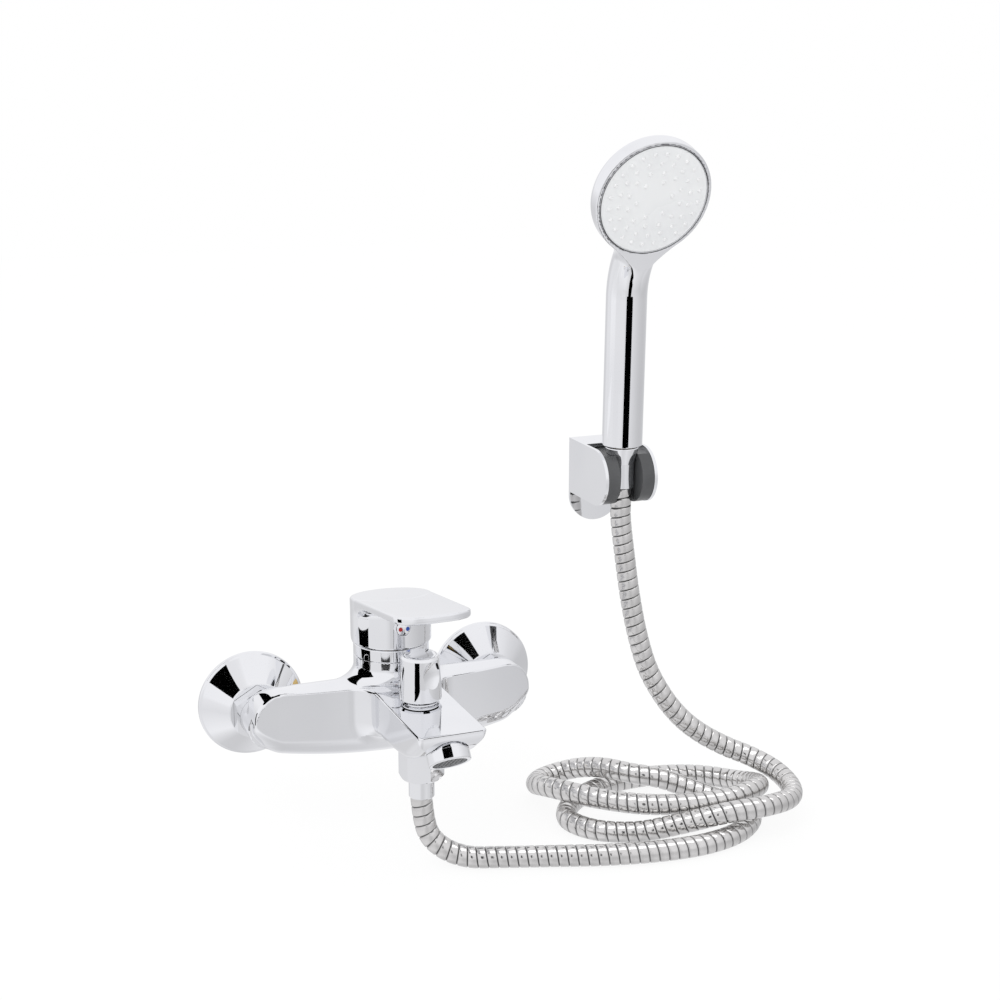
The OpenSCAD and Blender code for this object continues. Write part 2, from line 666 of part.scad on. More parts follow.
module diverter_knob() color(chrome) at_outlet() difference() {
    rotate_extrude() polygon([
        [stem_r + fit / 2, knob_z], [knob_r - 0.9, knob_z], [knob_r, knob_z + 0.9],
        [knob_top_r + 0.2, knob_z + knob_h - 1.6], [knob_top_r - 0.8, knob_z + knob_h],
        [knob_top_r - 1.6, knob_z + knob_h], [knob_top_r - 1.6, knob_z + knob_h - 1],
        [0, knob_z + knob_h - 1], [0, knob_z + stem_in],
        [stem_r + fit / 2, knob_z + stem_in]]);
    rotate(-scoop_az) translate([knob_r + scoop_r - 3.8, 0, knob_z + knob_h * 0.66])
        sphere(scoop_r);
}

module knob_cap() color(white) at_outlet() translate([0, 0, knob_z + knob_h - 1]) rotate_extrude()
    polygon([[0, 0], [knob_top_r - 1.6 - fit, 0], [knob_top_r - 1.6 - fit, 0.9],
        [knob_top_r - 2.2, 1.3], [0, 1.6]]);

module diverter_stem() color(brass) at_outlet() translate([0, 0, spool_z])
    cylinder(r = stem_r, h = knob_z + stem_in - spool_z);

module diverter_spool() color(brass) at_outlet() translate([0, 0, spool_z]) difference() {
    pipe(valve_r - 0.6, stem_r + fit / 2, spool_h);
    translate([0, 0, 1]) pipe(valve_r, valve_r - 2, spool_h - 2);
}

module spool_seal() color(rubber) at_outlet() translate([0, 0, spool_z + 1 + fit])
    pipe(valve_r - 0.3, valve_r - 2 + fit, spool_h - 2 - 2 * fit);

module aerator_ring() color(chrome) at_aerator() difference() {
    union() {
        rotate_extrude() polygon([[0, 0], [aer_r - 0.8, 0], [aer_r, 0.8],
            [aer_r, aer_len - 0.1], [0, aer_len - 0.1]]);
        cylinder(r = aer_thread_r, h = aer_len + 5);
    }
    translate([0, 0, -1]) cylinder(r = aer_thread_r - 1.2, h = 20);
}

module aerator_insert() color(grey) at_aerator() translate([0, 0, 0.8]) difference() {
    cylinder(r = aer_thread_r - 1.2 - fit, h = 8);
    for (x = [-7.2:2.4:7.2]) for (y = [-7.2:2.4:7.2])
        if (norm([x, y]) < 8.2) translate([x, y, -1]) cylinder(r = 0.85, h = 2.2, $fn = 4);
}

module aerator_washer() color(rubber) at_aerator() translate([0, 0, aer_len + 5])
    pipe(aer_thread_r - 0.4, aer_thread_r - 3, 1.6);

module outlet_nipple() color(brass) at_outlet() difference() {
    union() {
        translate([0, 0, outlet_z]) cylinder(r = valve_r - fit, h = 2.6);
        translate([0, 0, nut_top_z + 0.2]) cylinder(r = hose_thread_r + 1.6, h = outlet_z - nut_top_z - 0.2);
        translate([0, 0, nipple_end]) cylinder(r = hose_thread_r, h = outlet_z - nipple_end);
    }
    translate([0, 0, nipple_end - 1]) cylinder(r = 6, h = 30);
}

module hose_nut() color(chrome) at_outlet() translate([0, 0, nut_low_z]) difference() {
    intersection() {
        rotate(-26) hex(hose_nut_af, hose_nut_len);
        rotate_extrude() polygon([[0, 0], [hose_nut_af / 2, 0], [hose_nut_af / 2 * hex_k, 1.8],
            [hose_nut_af / 2 * hex_k, hose_nut_len - 1], [hose_nut_af / 2 + 0.6, hose_nut_len],
            [0, hose_nut_len]]);
    }
    translate([0, 0, 3]) cylinder(r = hose_thread_r + fit, h = hose_nut_len);
    translate([0, 0, -1]) cylinder(r = ferrule_r - 1, h = 6);
}

module hose_washer() color(rubber) at_outlet() translate([0, 0, nipple_end - 1.8])
    pipe(hose_thread_r - 0.3, 6, 1.8);

module hose_tail() color(brass) at_outlet() difference() {
    union() {
        translate([0, 0, nut_low_z + 3])
            cylinder(r = hose_thread_r - 0.2, h = nipple_end - 1.8 - nut_low_z - 3);
        translate([0, 0, nut_low_z - 0.9]) cylinder(r = ferrule_r - 1.2, h = 4.5);
        translate([0, 0, hose_z0 - 12]) cylinder(r = bore_in - 0.15, h = 14);
    }
    translate([0, 0, hose_z0 - 13]) cylinder(r = 3, h = 40);
}

module ferrule() color(chrome) at_outlet() translate([0, 0, ferrule_end]) difference() {
    rotate_extrude() polygon([[0, 0], [ferrule_r - 0.4, 0], [ferrule_r, 0.6],
        [ferrule_r, ferrule_len], [0, ferrule_len]]);
    translate([0, 0, -1]) cylinder(r = hose_r + air, h = hose_z0 - ferrule_end + 1 + air);
    translate([0, 0, 2]) cylinder(r = bore_in, h = ferrule_len);
    translate([0, 0, nut_low_z - 0.9 - ferrule_end]) cylinder(r = ferrule_r - 1.2 + fit, h = 5);
}

module hose() color(chrome)
    polyhedron(points = concat(outer_pts, inner_pts), faces = hose_faces, convexity = 20);

module cone_nut() color(chrome) at_hold() difference() {
    translate([0, 0, cone_z]) rotate_extrude() polygon([
        [0, 0], [cone_low_r - 0.4, 0], [cone_low_r, 0.5], [cone_low_r, cone_len - cone_h],
        [cone_top_r, cone_len - 0.8], [cone_top_r - 0.6, cone_len], [0, cone_len]]);
    translate([0, 0, cone_z - 1]) cylinder(r = hose_r + air, h = hose_z1 - cone_z + 1 + air);
    translate([0, 0, cone_z]) cylinder(r = bore_r + 0.4, h = cone_len + 1);
    translate([0, 0, cone_top_z - thread_len]) cylinder(r = inlet_r + fit, h = thread_len + 1);
}

module cone_tail() color(brass) at_hold() difference() {
    union() {
        translate([0, 0, cone_top_z - thread_len]) cylinder(r = inlet_r - 0.3, h = 1.4);
        translate([0, 0, hose_z1 + air])
            cylinder(r = bore_r + 0.4 - fit, h = cone_top_z - thread_len - hose_z1);
        translate([0, 0, hose_z1 - 11]) cylinder(r = bore_in - air, h = 16);
    }
    translate([0, 0, hose_z1 - 12]) cylinder(r = 2.8, h = 40);
}

module cone_washer() color(rubber) at_hold() translate([0, 0, cone_top_z - thread_len + 1.4])
    pipe(inlet_r - 0.4, 5, 1.6);

// Handle, neck bend and the straight run into the head
module stalk() at_hold() {
    translate([0, 0, foot_z]) cylinder(r = handle_r, h = handle_len);
    translate([0, -neck_r, neck_z]) rotate([90, 0, 90])
        rotate_extrude(angle = neck_a) translate([neck_r, 0]) circle(handle_r);
    translate([0, -neck_r * (1 - cos(neck_a)), neck_z + neck_r * sin(neck_a)])
        rotate([neck_a, 0, 0]) translate([0, 0, -1]) cylinder(r = handle_r - 0.04, h = neck_run + 1);
}

// The bore runs straight up the handle, then along the chord of the neck into the head
module stalk_bore() at_hold() {
    translate([0, 0, foot_z - 1]) cylinder(r = handle_r - 1.5, h = 18);
    translate([0, 0, foot_z]) cylinder(r = handset_bore_r, h = handle_len + 2);
    translate([0, 0, neck_z]) rotate([neck_a / 2, 0, 0]) translate([0, 0, -3])
        cylinder(r = handset_bore_r, h = 2 * neck_r * sin(neck_a / 2) + 9);
}

module handset_shell() color(chrome) difference() {
    union() {
        stalk();
        at_face() rotate_extrude() {
            translate([0, -head_t + head_round]) square([head_r, head_t - head_round - 0.6]);
            translate([0, -head_t]) square([head_r - head_round, head_t - 0.1]);
            translate([0, -0.7]) square([head_r - 0.6, 0.7]);
            translate([head_r - head_round, -head_t + head_round]) circle(head_round);
        }
    }
    at_face() cylinder(r = 1.5 * head_r, h = head_r);
    at_face() translate([0, 0, -cavity]) cylinder(r = face_r, h = 2 * cavity);
    stalk_bore();
}

module rim_ring() color(chrome) at_face() translate([0, 0, -3])
    pipe(face_r - fit, face_r - 0.9, 3.3);

module each_nozzle() for (n = [1:nozzle_rings]) for (k = [0:6 * n - 1])
    rotate(k * 60 / n + 10 * n) translate([nozzle_r0 + nozzle_step * n, 0, 0]) children();

module faceplate() color(white) at_face() difference() {
    translate([0, 0, -3]) rotate_extrude() polygon([[0, 0], [face_r - 0.9 - fit, 0],
        [face_r - 0.9 - fit, 2.7], [face_r - 1.4, 3], [0, 3]]);
    each_nozzle() translate([0, 0, -4]) cylinder(r = nozzle_r + fit, h = 6);
}

module nozzle_mat() color(white) at_face() {
    translate([0, 0, -5]) cylinder(r = face_r - 0.4, h = 2);
    each_nozzle() translate([0, 0, -3.5]) cylinder(r1 = nozzle_r, r2 = nozzle_r - 0.25, h = 4.3);
}

module diffuser() color(grey) at_face() translate([0, 0, -7]) difference() {
    cylinder(r = face_r - 0.2, h = 2);
    for (n = [1:3]) for (k = [0:6 * n - 1])
        rotate(k * 60 / n) translate([8 * n, 0, -1]) cylinder(r = 1.5, h = 4);
}

module handset_inlet() color(brass) at_hold() difference() {
    union() {
        translate([0, 0, cone_top_z - thread_len + 3]) cylinder(r = inlet_r, h = thread_len);
        translate([0, 0, foot_z]) cylinder(r = handle_r - 1.5 - fit, h = 17);
    }
    translate([0, 0, cone_top_z - thread_len]) cylinder(r = 4.6, h = 40);
}

module bracket_outline(low) {
    translate([-bracket_w / 2, low + bracket_w / 2])
        square([bracket_w, bracket_top - 2.4 - low - bracket_w / 2]);
    translate([0, low + bracket_w / 2]) circle(bracket_w / 2);
}

module bracket_plate() color(chrome) difference() {
    out(bracket_x) linear_extrude(plate_thick) bracket_outline(bracket_low - tongue);
    both_screws() translate([0, 0, -1]) cylinder(r = screw_r, h = 5);
}

module cheek_section(trim) {
    translate([plate_thick, bracket_low + trim]) square([bracket_c - plate_thick, bracket_h - 2 * trim]);
    translate([bracket_c, bracket_z]) circle(round_r - trim);
}

module bracket_cover() color(chrome) translate([bracket_x, 0, 0]) difference() {
    across_x(bracket_w) union() {
        cheek_section(0);
        translate([0, bracket_top - 2.2]) square([plate_thick + 1, 2.2]);
    }
    translate([-inner_w / 2, -100, bracket_low - 10]) cube([inner_w, 100, bracket_h + 10 - cover_t - 0.2]);
    translate([-inner_w / 2, -100, bracket_low - 10]) cube([inner_w, 100 - top_depth, 80]);
}

module bracket_fork() color(grey) difference() {
    translate([bracket_x, 0, 0]) intersection() {
        across_x(inner_w - 2 * fit) cheek_section(0.3);
        translate([-30, -100, 0]) cube([60, 100, bracket_top - 3]);
    }
    at_hold() translate([0, 0, bracket_low - 5]) cylinder(r = cone_low_r + air, h = 60);
    at_hold() translate([0, 0, cone_z + cone_len - cone_h + air])
        cylinder(r1 = cone_low_r + air, r2 = cone_top_r + air, h = cone_h - 0.8);
    translate([bracket_x - slot_w / 2, -hold_y - 40, bracket_low - 5]) cube([slot_w, 40, 60]);
    both_screws() cylinder(r = 4.5, h = plate_thick + 3.2);
}

module bracket_screws() color(chrome) both_screws() difference() {
    union() {
        translate([0, 0, -screw_in]) cylinder(r = screw_r - 0.3, h = screw_in - air);
        translate([0, 0, -air]) cylinder(r = screw_r - 0.8, h = air + plate_thick + 1);
        translate([0, 0, plate_thick]) cylinder(r = 4.1, h = 2.6);
    }
    translate([-3, -0.5, plate_thick + 1.4]) cube([6, 1, 3]);
    translate([-0.5, -3, plate_thick + 1.4]) cube([1, 6, 3]);
}

mixer_body();
wall_union_left();
wall_union_right();
union_nuts();
union_washers();
rosette_left();
rosette_right();
cartridge_seal();
cartridge_housing();
lower_disc();
cartridge_nut();
tower_ring();
upper_disc();
carrier();
spindle();
pivot_pin();
lever();
lever_screw();
indicator_button();
hot_dot();
cold_dot();
diverter_bonnet();
diverter_knob();
knob_cap();
diverter_stem();
diverter_spool();
spool_seal();
aerator_ring();
aerator_insert();
aerator_washer();
outlet_nipple();
hose_nut();
hose_washer();
hose_tail();
ferrule();
hose();
cone_nut();
cone_tail();
cone_washer();
handset_shell();
rim_ring();
faceplate();
nozzle_mat();
diffuser();
handset_inlet();
bracket_plate();
bracket_cover();
bracket_fork();
bracket_screws();
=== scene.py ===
"""Bath shower mixer with its hose, hand shower and wall bracket, dressed for rendering.

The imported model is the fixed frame. Each sub-assembly is a class that dresses its own solids.
The hose and the spray nozzles are grown by Geometry Nodes from the same sizes as the solids
they stand for. Lengths are metres in the frame of the model: the wall is the plane Y = 0,
the front is -Y and Z is up.
"""

import json
import logging
import math
from dataclasses import dataclass, field
from enum import Enum
from typing import Optional, Sequence, Union

import bmesh
import bpy
import numpy as np
from mathutils import Euler, Matrix, Vector

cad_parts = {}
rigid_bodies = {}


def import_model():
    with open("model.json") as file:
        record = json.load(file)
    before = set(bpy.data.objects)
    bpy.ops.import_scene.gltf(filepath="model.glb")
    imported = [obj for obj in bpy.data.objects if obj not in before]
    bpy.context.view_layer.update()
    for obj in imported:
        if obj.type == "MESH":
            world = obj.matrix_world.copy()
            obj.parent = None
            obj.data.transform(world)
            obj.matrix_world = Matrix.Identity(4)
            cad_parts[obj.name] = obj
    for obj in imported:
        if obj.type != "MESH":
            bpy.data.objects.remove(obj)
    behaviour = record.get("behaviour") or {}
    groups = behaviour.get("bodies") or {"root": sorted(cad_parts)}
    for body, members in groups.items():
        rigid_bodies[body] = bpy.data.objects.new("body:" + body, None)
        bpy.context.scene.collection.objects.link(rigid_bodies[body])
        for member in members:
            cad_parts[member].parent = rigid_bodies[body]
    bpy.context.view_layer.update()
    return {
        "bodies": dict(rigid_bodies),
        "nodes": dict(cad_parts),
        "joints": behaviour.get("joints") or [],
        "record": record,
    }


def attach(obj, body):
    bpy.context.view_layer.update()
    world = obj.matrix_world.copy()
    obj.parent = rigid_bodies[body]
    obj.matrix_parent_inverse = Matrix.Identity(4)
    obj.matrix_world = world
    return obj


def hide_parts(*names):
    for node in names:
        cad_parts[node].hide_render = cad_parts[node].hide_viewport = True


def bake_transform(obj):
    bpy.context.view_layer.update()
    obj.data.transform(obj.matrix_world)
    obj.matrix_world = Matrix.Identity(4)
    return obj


LOG = logging.getLogger("bath_shower_mixer")

Colour = tuple[float, float, float]
Point = tuple[float, float, float]
Value = Union[float, bpy.types.NodeSocket]
Grid = np.ndarray

MM = 0.001
PURE_WHITE = (1.0, 1.0, 1.0, 1.0)
# Painted shade: the near-black tone mixed into the hose's grooves, where shade would fall
PAINTED_GROOVE_SHADE = (0.10, 0.10, 0.10, 1.0)

# Points closer than this are one point, and edges shorter than the other vanish
WELD = 3e-6
SLIVER = 2e-6

# Pieces that mirror the same black cards
TOWER = ("mixer_body_casting", "lever_casting", "tower_ring_turned")
ROSETTES = ("rosette_left_turned", "rosette_right_turned")
SHELL = ("handset_casting",)


class Body(Enum):
    """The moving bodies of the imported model."""

    FIXTURE = "fixture"
    SWIVEL = "swivel"
    LEVER = "lever_body"
    DIVERTER = "diverter"
    HOSE_END = "hose_end"
    HANDSET = "handset"


class Slot(Enum):
    """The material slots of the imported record."""

    CHROME = "chrome"
    BRASS = "brass"
    SEAL = "seal"
    WHITE = "white_plastic"
    GREY = "grey_plastic"
    CERAMIC = "ceramic"
    RED = "red_mark"
    BLUE = "blue_mark"


class Tree:
    """Adds and links nodes in one node tree."""

    def __init__(self, tree: bpy.types.NodeTree) -> None:
        """Wraps a tree and empties it."""
        self.tree = tree
        tree.nodes.clear()

    def add(self, kind: str, inputs: Optional[dict[object, object]] = None,
            **settings: object) -> bpy.types.Node:
        """Adds a node, sets its properties and feeds its inputs.

        Args:
            kind: The node's type name.
            inputs: Output sockets or plain values, by the input's name or number.
            settings: Properties of the node by name.

        Returns:
            The new node.
        """
        node = self.tree.nodes.new(kind)
        for name, value in settings.items():
            setattr(node, name, value)
        for name, value in (inputs or {}).items():
            self.feed(node.inputs[name], value)
        return node

    def feed(self, socket: bpy.types.NodeSocket, value: object) -> None:
        """Links a socket into another, or sets a plain value on it.

        Args:
            socket: The input socket.
            value: An output socket or a plain value.
        """
        if isinstance(value, bpy.types.NodeSocket):
            self.tree.links.new(value, socket)
        else:
            socket.default_value = value

    def math(self, operation: str, a: Value, b: Value = 0.0) -> bpy.types.NodeSocket:
        """Adds a Math node.

        Args:
            operation: The operation's name.
            a: The first value.
            b: The second value.

        Returns:
            The result socket.
        """
        return self.add("ShaderNodeMath", {0: a, 1: b}, operation=operation).outputs[0]

    def scaled(self, vector: bpy.types.NodeSocket, factor: Value) -> bpy.types.NodeSocket:
        """Adds a Vector Math node that scales a vector.

        Args:
            vector: The vector socket.
            factor: The scale.

        Returns:
            The scaled vector socket.
        """
        node = self.add("ShaderNodeVectorMath", {0: vector, "Scale": factor}, operation="SCALE")
        return node.outputs[0]

    def vector(self, operation: str, a: object, b: object) -> bpy.types.NodeSocket:
        """Adds a Vector Math node of two vectors.

        Args:
            operation: The operation's name.
            a: The first vector.
            b: The second vector.

        Returns:
            The result socket.
        """
        return self.add("ShaderNodeVectorMath", {0: a, 1: b}, operation=operation).outputs[0]


class Growth(Tree):
    """A Geometry Nodes tree that grows a piece and ends by painting it."""

    def __init__(self, name: str, inputs: Sequence[tuple[str, str]]) -> None:
        """Makes the tree with its inputs.

        Args:
            name: The tree's name.
            inputs: Name and kind of each input after the geometry. The last is the material.
        """
        super().__init__(bpy.data.node_groups.new(name, "GeometryNodeTree"))
        face = self.tree.interface
        for label, kind in (("Geometry", "Geometry"), *inputs):
            face.new_socket(label, in_out="INPUT", socket_type=f"NodeSocket{kind}")
        face.new_socket("Geometry", in_out="OUTPUT", socket_type="NodeSocketGeometry")
        self.given = self.add("NodeGroupInput").outputs

    def end(self, shape: bpy.types.NodeSocket) -> bpy.types.NodeTree:
        """Makes the shape real, paints it and puts it out.

        Args:
            shape: The geometry's socket.

        Returns:
            The finished tree.
        """
        real = self.add("GeometryNodeRealizeInstances", {"Geometry": shape})
        paint = self.add("GeometryNodeSetMaterial", {
            "Geometry": real.outputs["Geometry"], "Material": self.given["Finish"]})
        self.add("NodeGroupOutput", {"Geometry": paint.outputs["Geometry"]})
        return self.tree


@dataclass(frozen=True)
class Finish:
    """A surface finish made of shader nodes on Object coordinates.

    Attributes:
        name: The material's name.
        slot: The record's slot that it stands for; not used.
        colour: The main tone, linear.
        cloud: The tone that drifts in over the surface, linear.
        metallic: 1 for metal, 0 otherwise.
        roughness: Lowest and highest roughness of the drift.
        drift: Scale of the slow drift, per metre.
        grain: Scale of the fine grain, per metre.
        bump: Strength of the grain's relief.
        depth: Depth of the grain's relief.
        specular: Specular level of a plastic.
        coat: Weight of a clear coat.
        groove: An attribute whose value darkens the surface as painted shade in grooves, or
            nothing.
    """

    name: str
    slot: Slot
    colour: Colour
    cloud: Colour
    metallic: float
    roughness: tuple[float, float]
    drift: float
    grain: float
    bump: float
    depth: float
    specular: float = 0.5
    coat: float = 0.0
    groove: str = ""

    def material(self) -> bpy.types.Material:
        """Builds the material, or returns the one already built.

        Returns:
            The material.
        """
        made = bpy.data.materials.get(self.name)
        if made is not None:
            return made
        made = bpy.data.materials.new(self.name)
        made.use_nodes = True
        made.diffuse_color = (*self.colour, 1.0)
        build = Tree(made.node_tree)
        place = build.add("ShaderNodeTexCoord").outputs["Object"]
        slow = build.add("ShaderNodeTexNoise", {
            "Vector": place, "Scale": self.drift, "Detail": 3.0}).outputs["Fac"]
        fine = build.add("ShaderNodeTexNoise", {
            "Vector": place, "Scale": self.grain, "Detail": 4.0}).outputs["Fac"]
        spread = build.add("ShaderNodeMapRange", {
            "Value": slow, "From Min": 0.3, "From Max": 0.7,
            "To Min": self.roughness[0], "To Max": self.roughness[1]})
        relief = build.add("ShaderNodeBump", {
            "Strength": self.bump, "Distance": self.depth, "Height": fine})
        shader = build.add("ShaderNodeBsdfPrincipled", {
            "Base Color": self._tone(build, slow), "Roughness": spread.outputs["Result"],
            "Normal": relief.outputs["Normal"], "Metallic": self.metallic,
            "Specular IOR Level": self.specular, "Coat Weight": self.coat})
        build.add("ShaderNodeOutputMaterial", {"Surface": shader.outputs["BSDF"]})
        return made

    def _tone(self, build: Tree, slow: bpy.types.NodeSocket) -> bpy.types.NodeSocket:
        """Mixes the two tones, and paints shade into the grooves where the finish has them.

        Args:
            build: The material's tree.
            slow: The slow drift.

        Returns:
            The colour socket.
        """
        ramp = build.add("ShaderNodeValToRGB", {"Fac": slow})
        stops = ((0.35, self.colour), (0.68, self.cloud))
        for mark, (level, tone) in zip(ramp.color_ramp.elements, stops):
            mark.position = level
            mark.color = (*tone, 1.0)
        if not self.groove:
            return ramp.outputs["Color"]
        # Painted shade: the groove attribute mixes the colour towards a dark tone in the grooves
        depth = build.add("ShaderNodeAttribute", attribute_name=self.groove)
        mix = build.add("ShaderNodeMix", data_type="RGBA", blend_type="MIX")
        build.feed(mix.inputs["Factor"], depth.outputs["Fac"])
        build.feed(mix.inputs["A"], ramp.outputs["Color"])
        build.feed(mix.inputs["B"], PAINTED_GROOVE_SHADE)
        return mix.outputs["Result"]


CHROME = Finish("polished_chrome", Slot.CHROME, (0.86, 0.865, 0.88), (0.83, 0.835, 0.855), 1.0,
                (0.03, 0.06), 18.0, 900.0, 0.012, 0.0001)
# The steel strip's grooves get painted shade through the groove attribute
STEEL = Finish("wound_steel_strip", Slot.CHROME, (0.72, 0.71, 0.70), (0.66, 0.65, 0.64), 1.0,
               (0.11, 0.18), 60.0, 2400.0, 0.05, 0.0001, groove="groove")
BRASS = Finish("plain_brass", Slot.BRASS, (0.72, 0.52, 0.22), (0.64, 0.44, 0.17), 1.0,
               (0.22, 0.34), 60.0, 1600.0, 0.10, 0.0001)
RUBBER = Finish("black_rubber", Slot.SEAL, (0.022, 0.022, 0.024), (0.035, 0.035, 0.038), 0.0,
                (0.62, 0.75), 80.0, 2600.0, 0.20, 0.0002, specular=0.3)
WHITE = Finish("white_spray_face", Slot.WHITE, (0.86, 0.87, 0.88), (0.82, 0.83, 0.845), 0.0,
               (0.24, 0.32), 30.0, 2200.0, 0.05, 0.0001, specular=0.45)
NOZZLE = Finish("white_soft_nozzles", Slot.WHITE, (0.86, 0.865, 0.87), (0.83, 0.835, 0.845), 0.0,
                (0.30, 0.42), 60.0, 3000.0, 0.08, 0.0001, specular=0.4)
GREY = Finish("dark_grey_plastic", Slot.GREY, (0.070, 0.072, 0.075), (0.092, 0.094, 0.098), 0.0,
              (0.30, 0.42), 40.0, 2600.0, 0.14, 0.0002, specular=0.5)
CERAMIC = Finish("ceramic_disc", Slot.CERAMIC, (0.82, 0.80, 0.76), (0.76, 0.74, 0.70), 0.0,
                 (0.16, 0.24), 50.0, 2400.0, 0.04, 0.0001)
RED = Finish("red_dot", Slot.RED, (0.60, 0.02, 0.02), (0.50, 0.015, 0.015), 0.0,
             (0.25, 0.35), 200.0, 3000.0, 0.05, 0.0001)
BLUE = Finish("blue_dot", Slot.BLUE, (0.02, 0.10, 0.55), (0.015, 0.08, 0.45), 0.0,
              (0.25, 0.35), 200.0, 3000.0, 0.05, 0.0001)


def new_object(name: str, mesh: bpy.types.Mesh) -> bpy.types.Object:
    """Links a mesh to the scene as an object at the origin.

    Args:
        name: The object's name.
        mesh: Its mesh.

    Returns:
        The object.
    """
    made = bpy.data.objects.new(name, mesh)
    bpy.context.scene.collection.objects.link(made)
    return made


def hang(piece: bpy.types.Object, node: str, body: Body) -> None:
    """Hangs a piece on its body in the place of its solid.

    Args:
        piece: The piece.
        node: The solid that it stands for.
        body: The body that it rides on.
    """
    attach(piece, body.value)
    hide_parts(node)
    LOG.info("%s: %d faces on %s", piece.name, len(piece.data.polygons), body.value)


def smooth(bm: bmesh.types.BMesh, crease: float) -> None:
    """Smooths the faces and keeps the true edges sharp.

    Args:
        bm: The mesh.
        crease: The angle in degrees past which an edge stays sharp.
    """
    limit = math.radians(crease)
    for face in bm.faces:
        face.smooth = True
    for edge in bm.edges:
        edge.smooth = edge.is_manifold and edge.calc_face_angle(0.0) < limit


def even_normals(piece: bpy.types.Object) -> None:
    """Evens a piece's normals by the size of its faces.

    Args:
        piece: The piece.
    """
    even = piece.modifiers.new("even_normals", "WEIGHTED_NORMAL")
    even.mode = "FACE_AREA"
    even.keep_sharp = True


def modifier_input(tree: bpy.types.NodeTree, name: str) -> str:
    """Finds the identifier of a node tree's input by its name.

    Args:
        tree: The Geometry Nodes tree.
        name: The input's name.

    Returns:
        The socket identifier.
    """
    for item in tree.interface.items_tree:
        if item.item_type == "SOCKET" and item.in_out == "INPUT" and item.name == name:
            return item.identifier
    raise KeyError(name)


def grown_mesh(name: str, source: bpy.types.Object, tree: bpy.types.NodeTree,
               values: dict[str, object]) -> bpy.types.Mesh:
    """Runs a Geometry Nodes tree on an object and keeps the result as a plain mesh.

    Args:
        name: The mesh's name.
        source: The object that carries the modifier for the run.
        tree: The tree.
        values: The tree's inputs by name.

    Returns:
        The evaluated mesh.
    """
    modifier = source.modifiers.new("grow", "NODES")
    modifier.node_group = tree
    for label, value in values.items():
        modifier[modifier_input(tree, label)] = value
    source.update_tag()
    bpy.context.view_layer.update()
    seen = source.evaluated_get(bpy.context.evaluated_depsgraph_get())
    mesh = bpy.data.meshes.new_from_object(seen)
    mesh.name = name
    source.modifiers.remove(modifier)
    return mesh


@dataclass
class PolishedCopy:
    """A merged copy of a solid, with smooth faces between its true edges.

    Attributes:
        node: The solid's node name.
        finish: Its finish.
        body: The body that it rides on.
        crease: The angle in degrees past which an edge stays sharp.
    """

    node: str
    finish: Finish
    body: Body
    crease: float = 24.0

    def build(self, frame: dict) -> bpy.types.Object:
        """Builds the copy and hangs it on its body.

        Args:
            frame: The loaded frame.

        Returns:
            The new piece.
        """
        source = frame["nodes"][self.node].data
        mesh = bpy.data.meshes.new(f"{self.node}_polished")
        bm = bmesh.new()
        places = [bm.verts.new(v.co) for v in source.vertices]
        for face in source.polygons:
            corners = [places[i] for i in face.vertices]
            if len(set(corners)) == len(corners):
                bm.faces.new(corners)
        bmesh.ops.remove_doubles(bm, verts=bm.verts, dist=WELD)
        bmesh.ops.dissolve_degenerate(bm, dist=SLIVER, edges=bm.edges)
        smooth(bm, self.crease)
        bm.to_mesh(mesh)
        bm.free()
        mesh.materials.append(self.finish.material())
        piece = new_object(f"{self.node}_polished", mesh)
        even_normals(piece)
        hang(piece, self.node, self.body)
        return piece


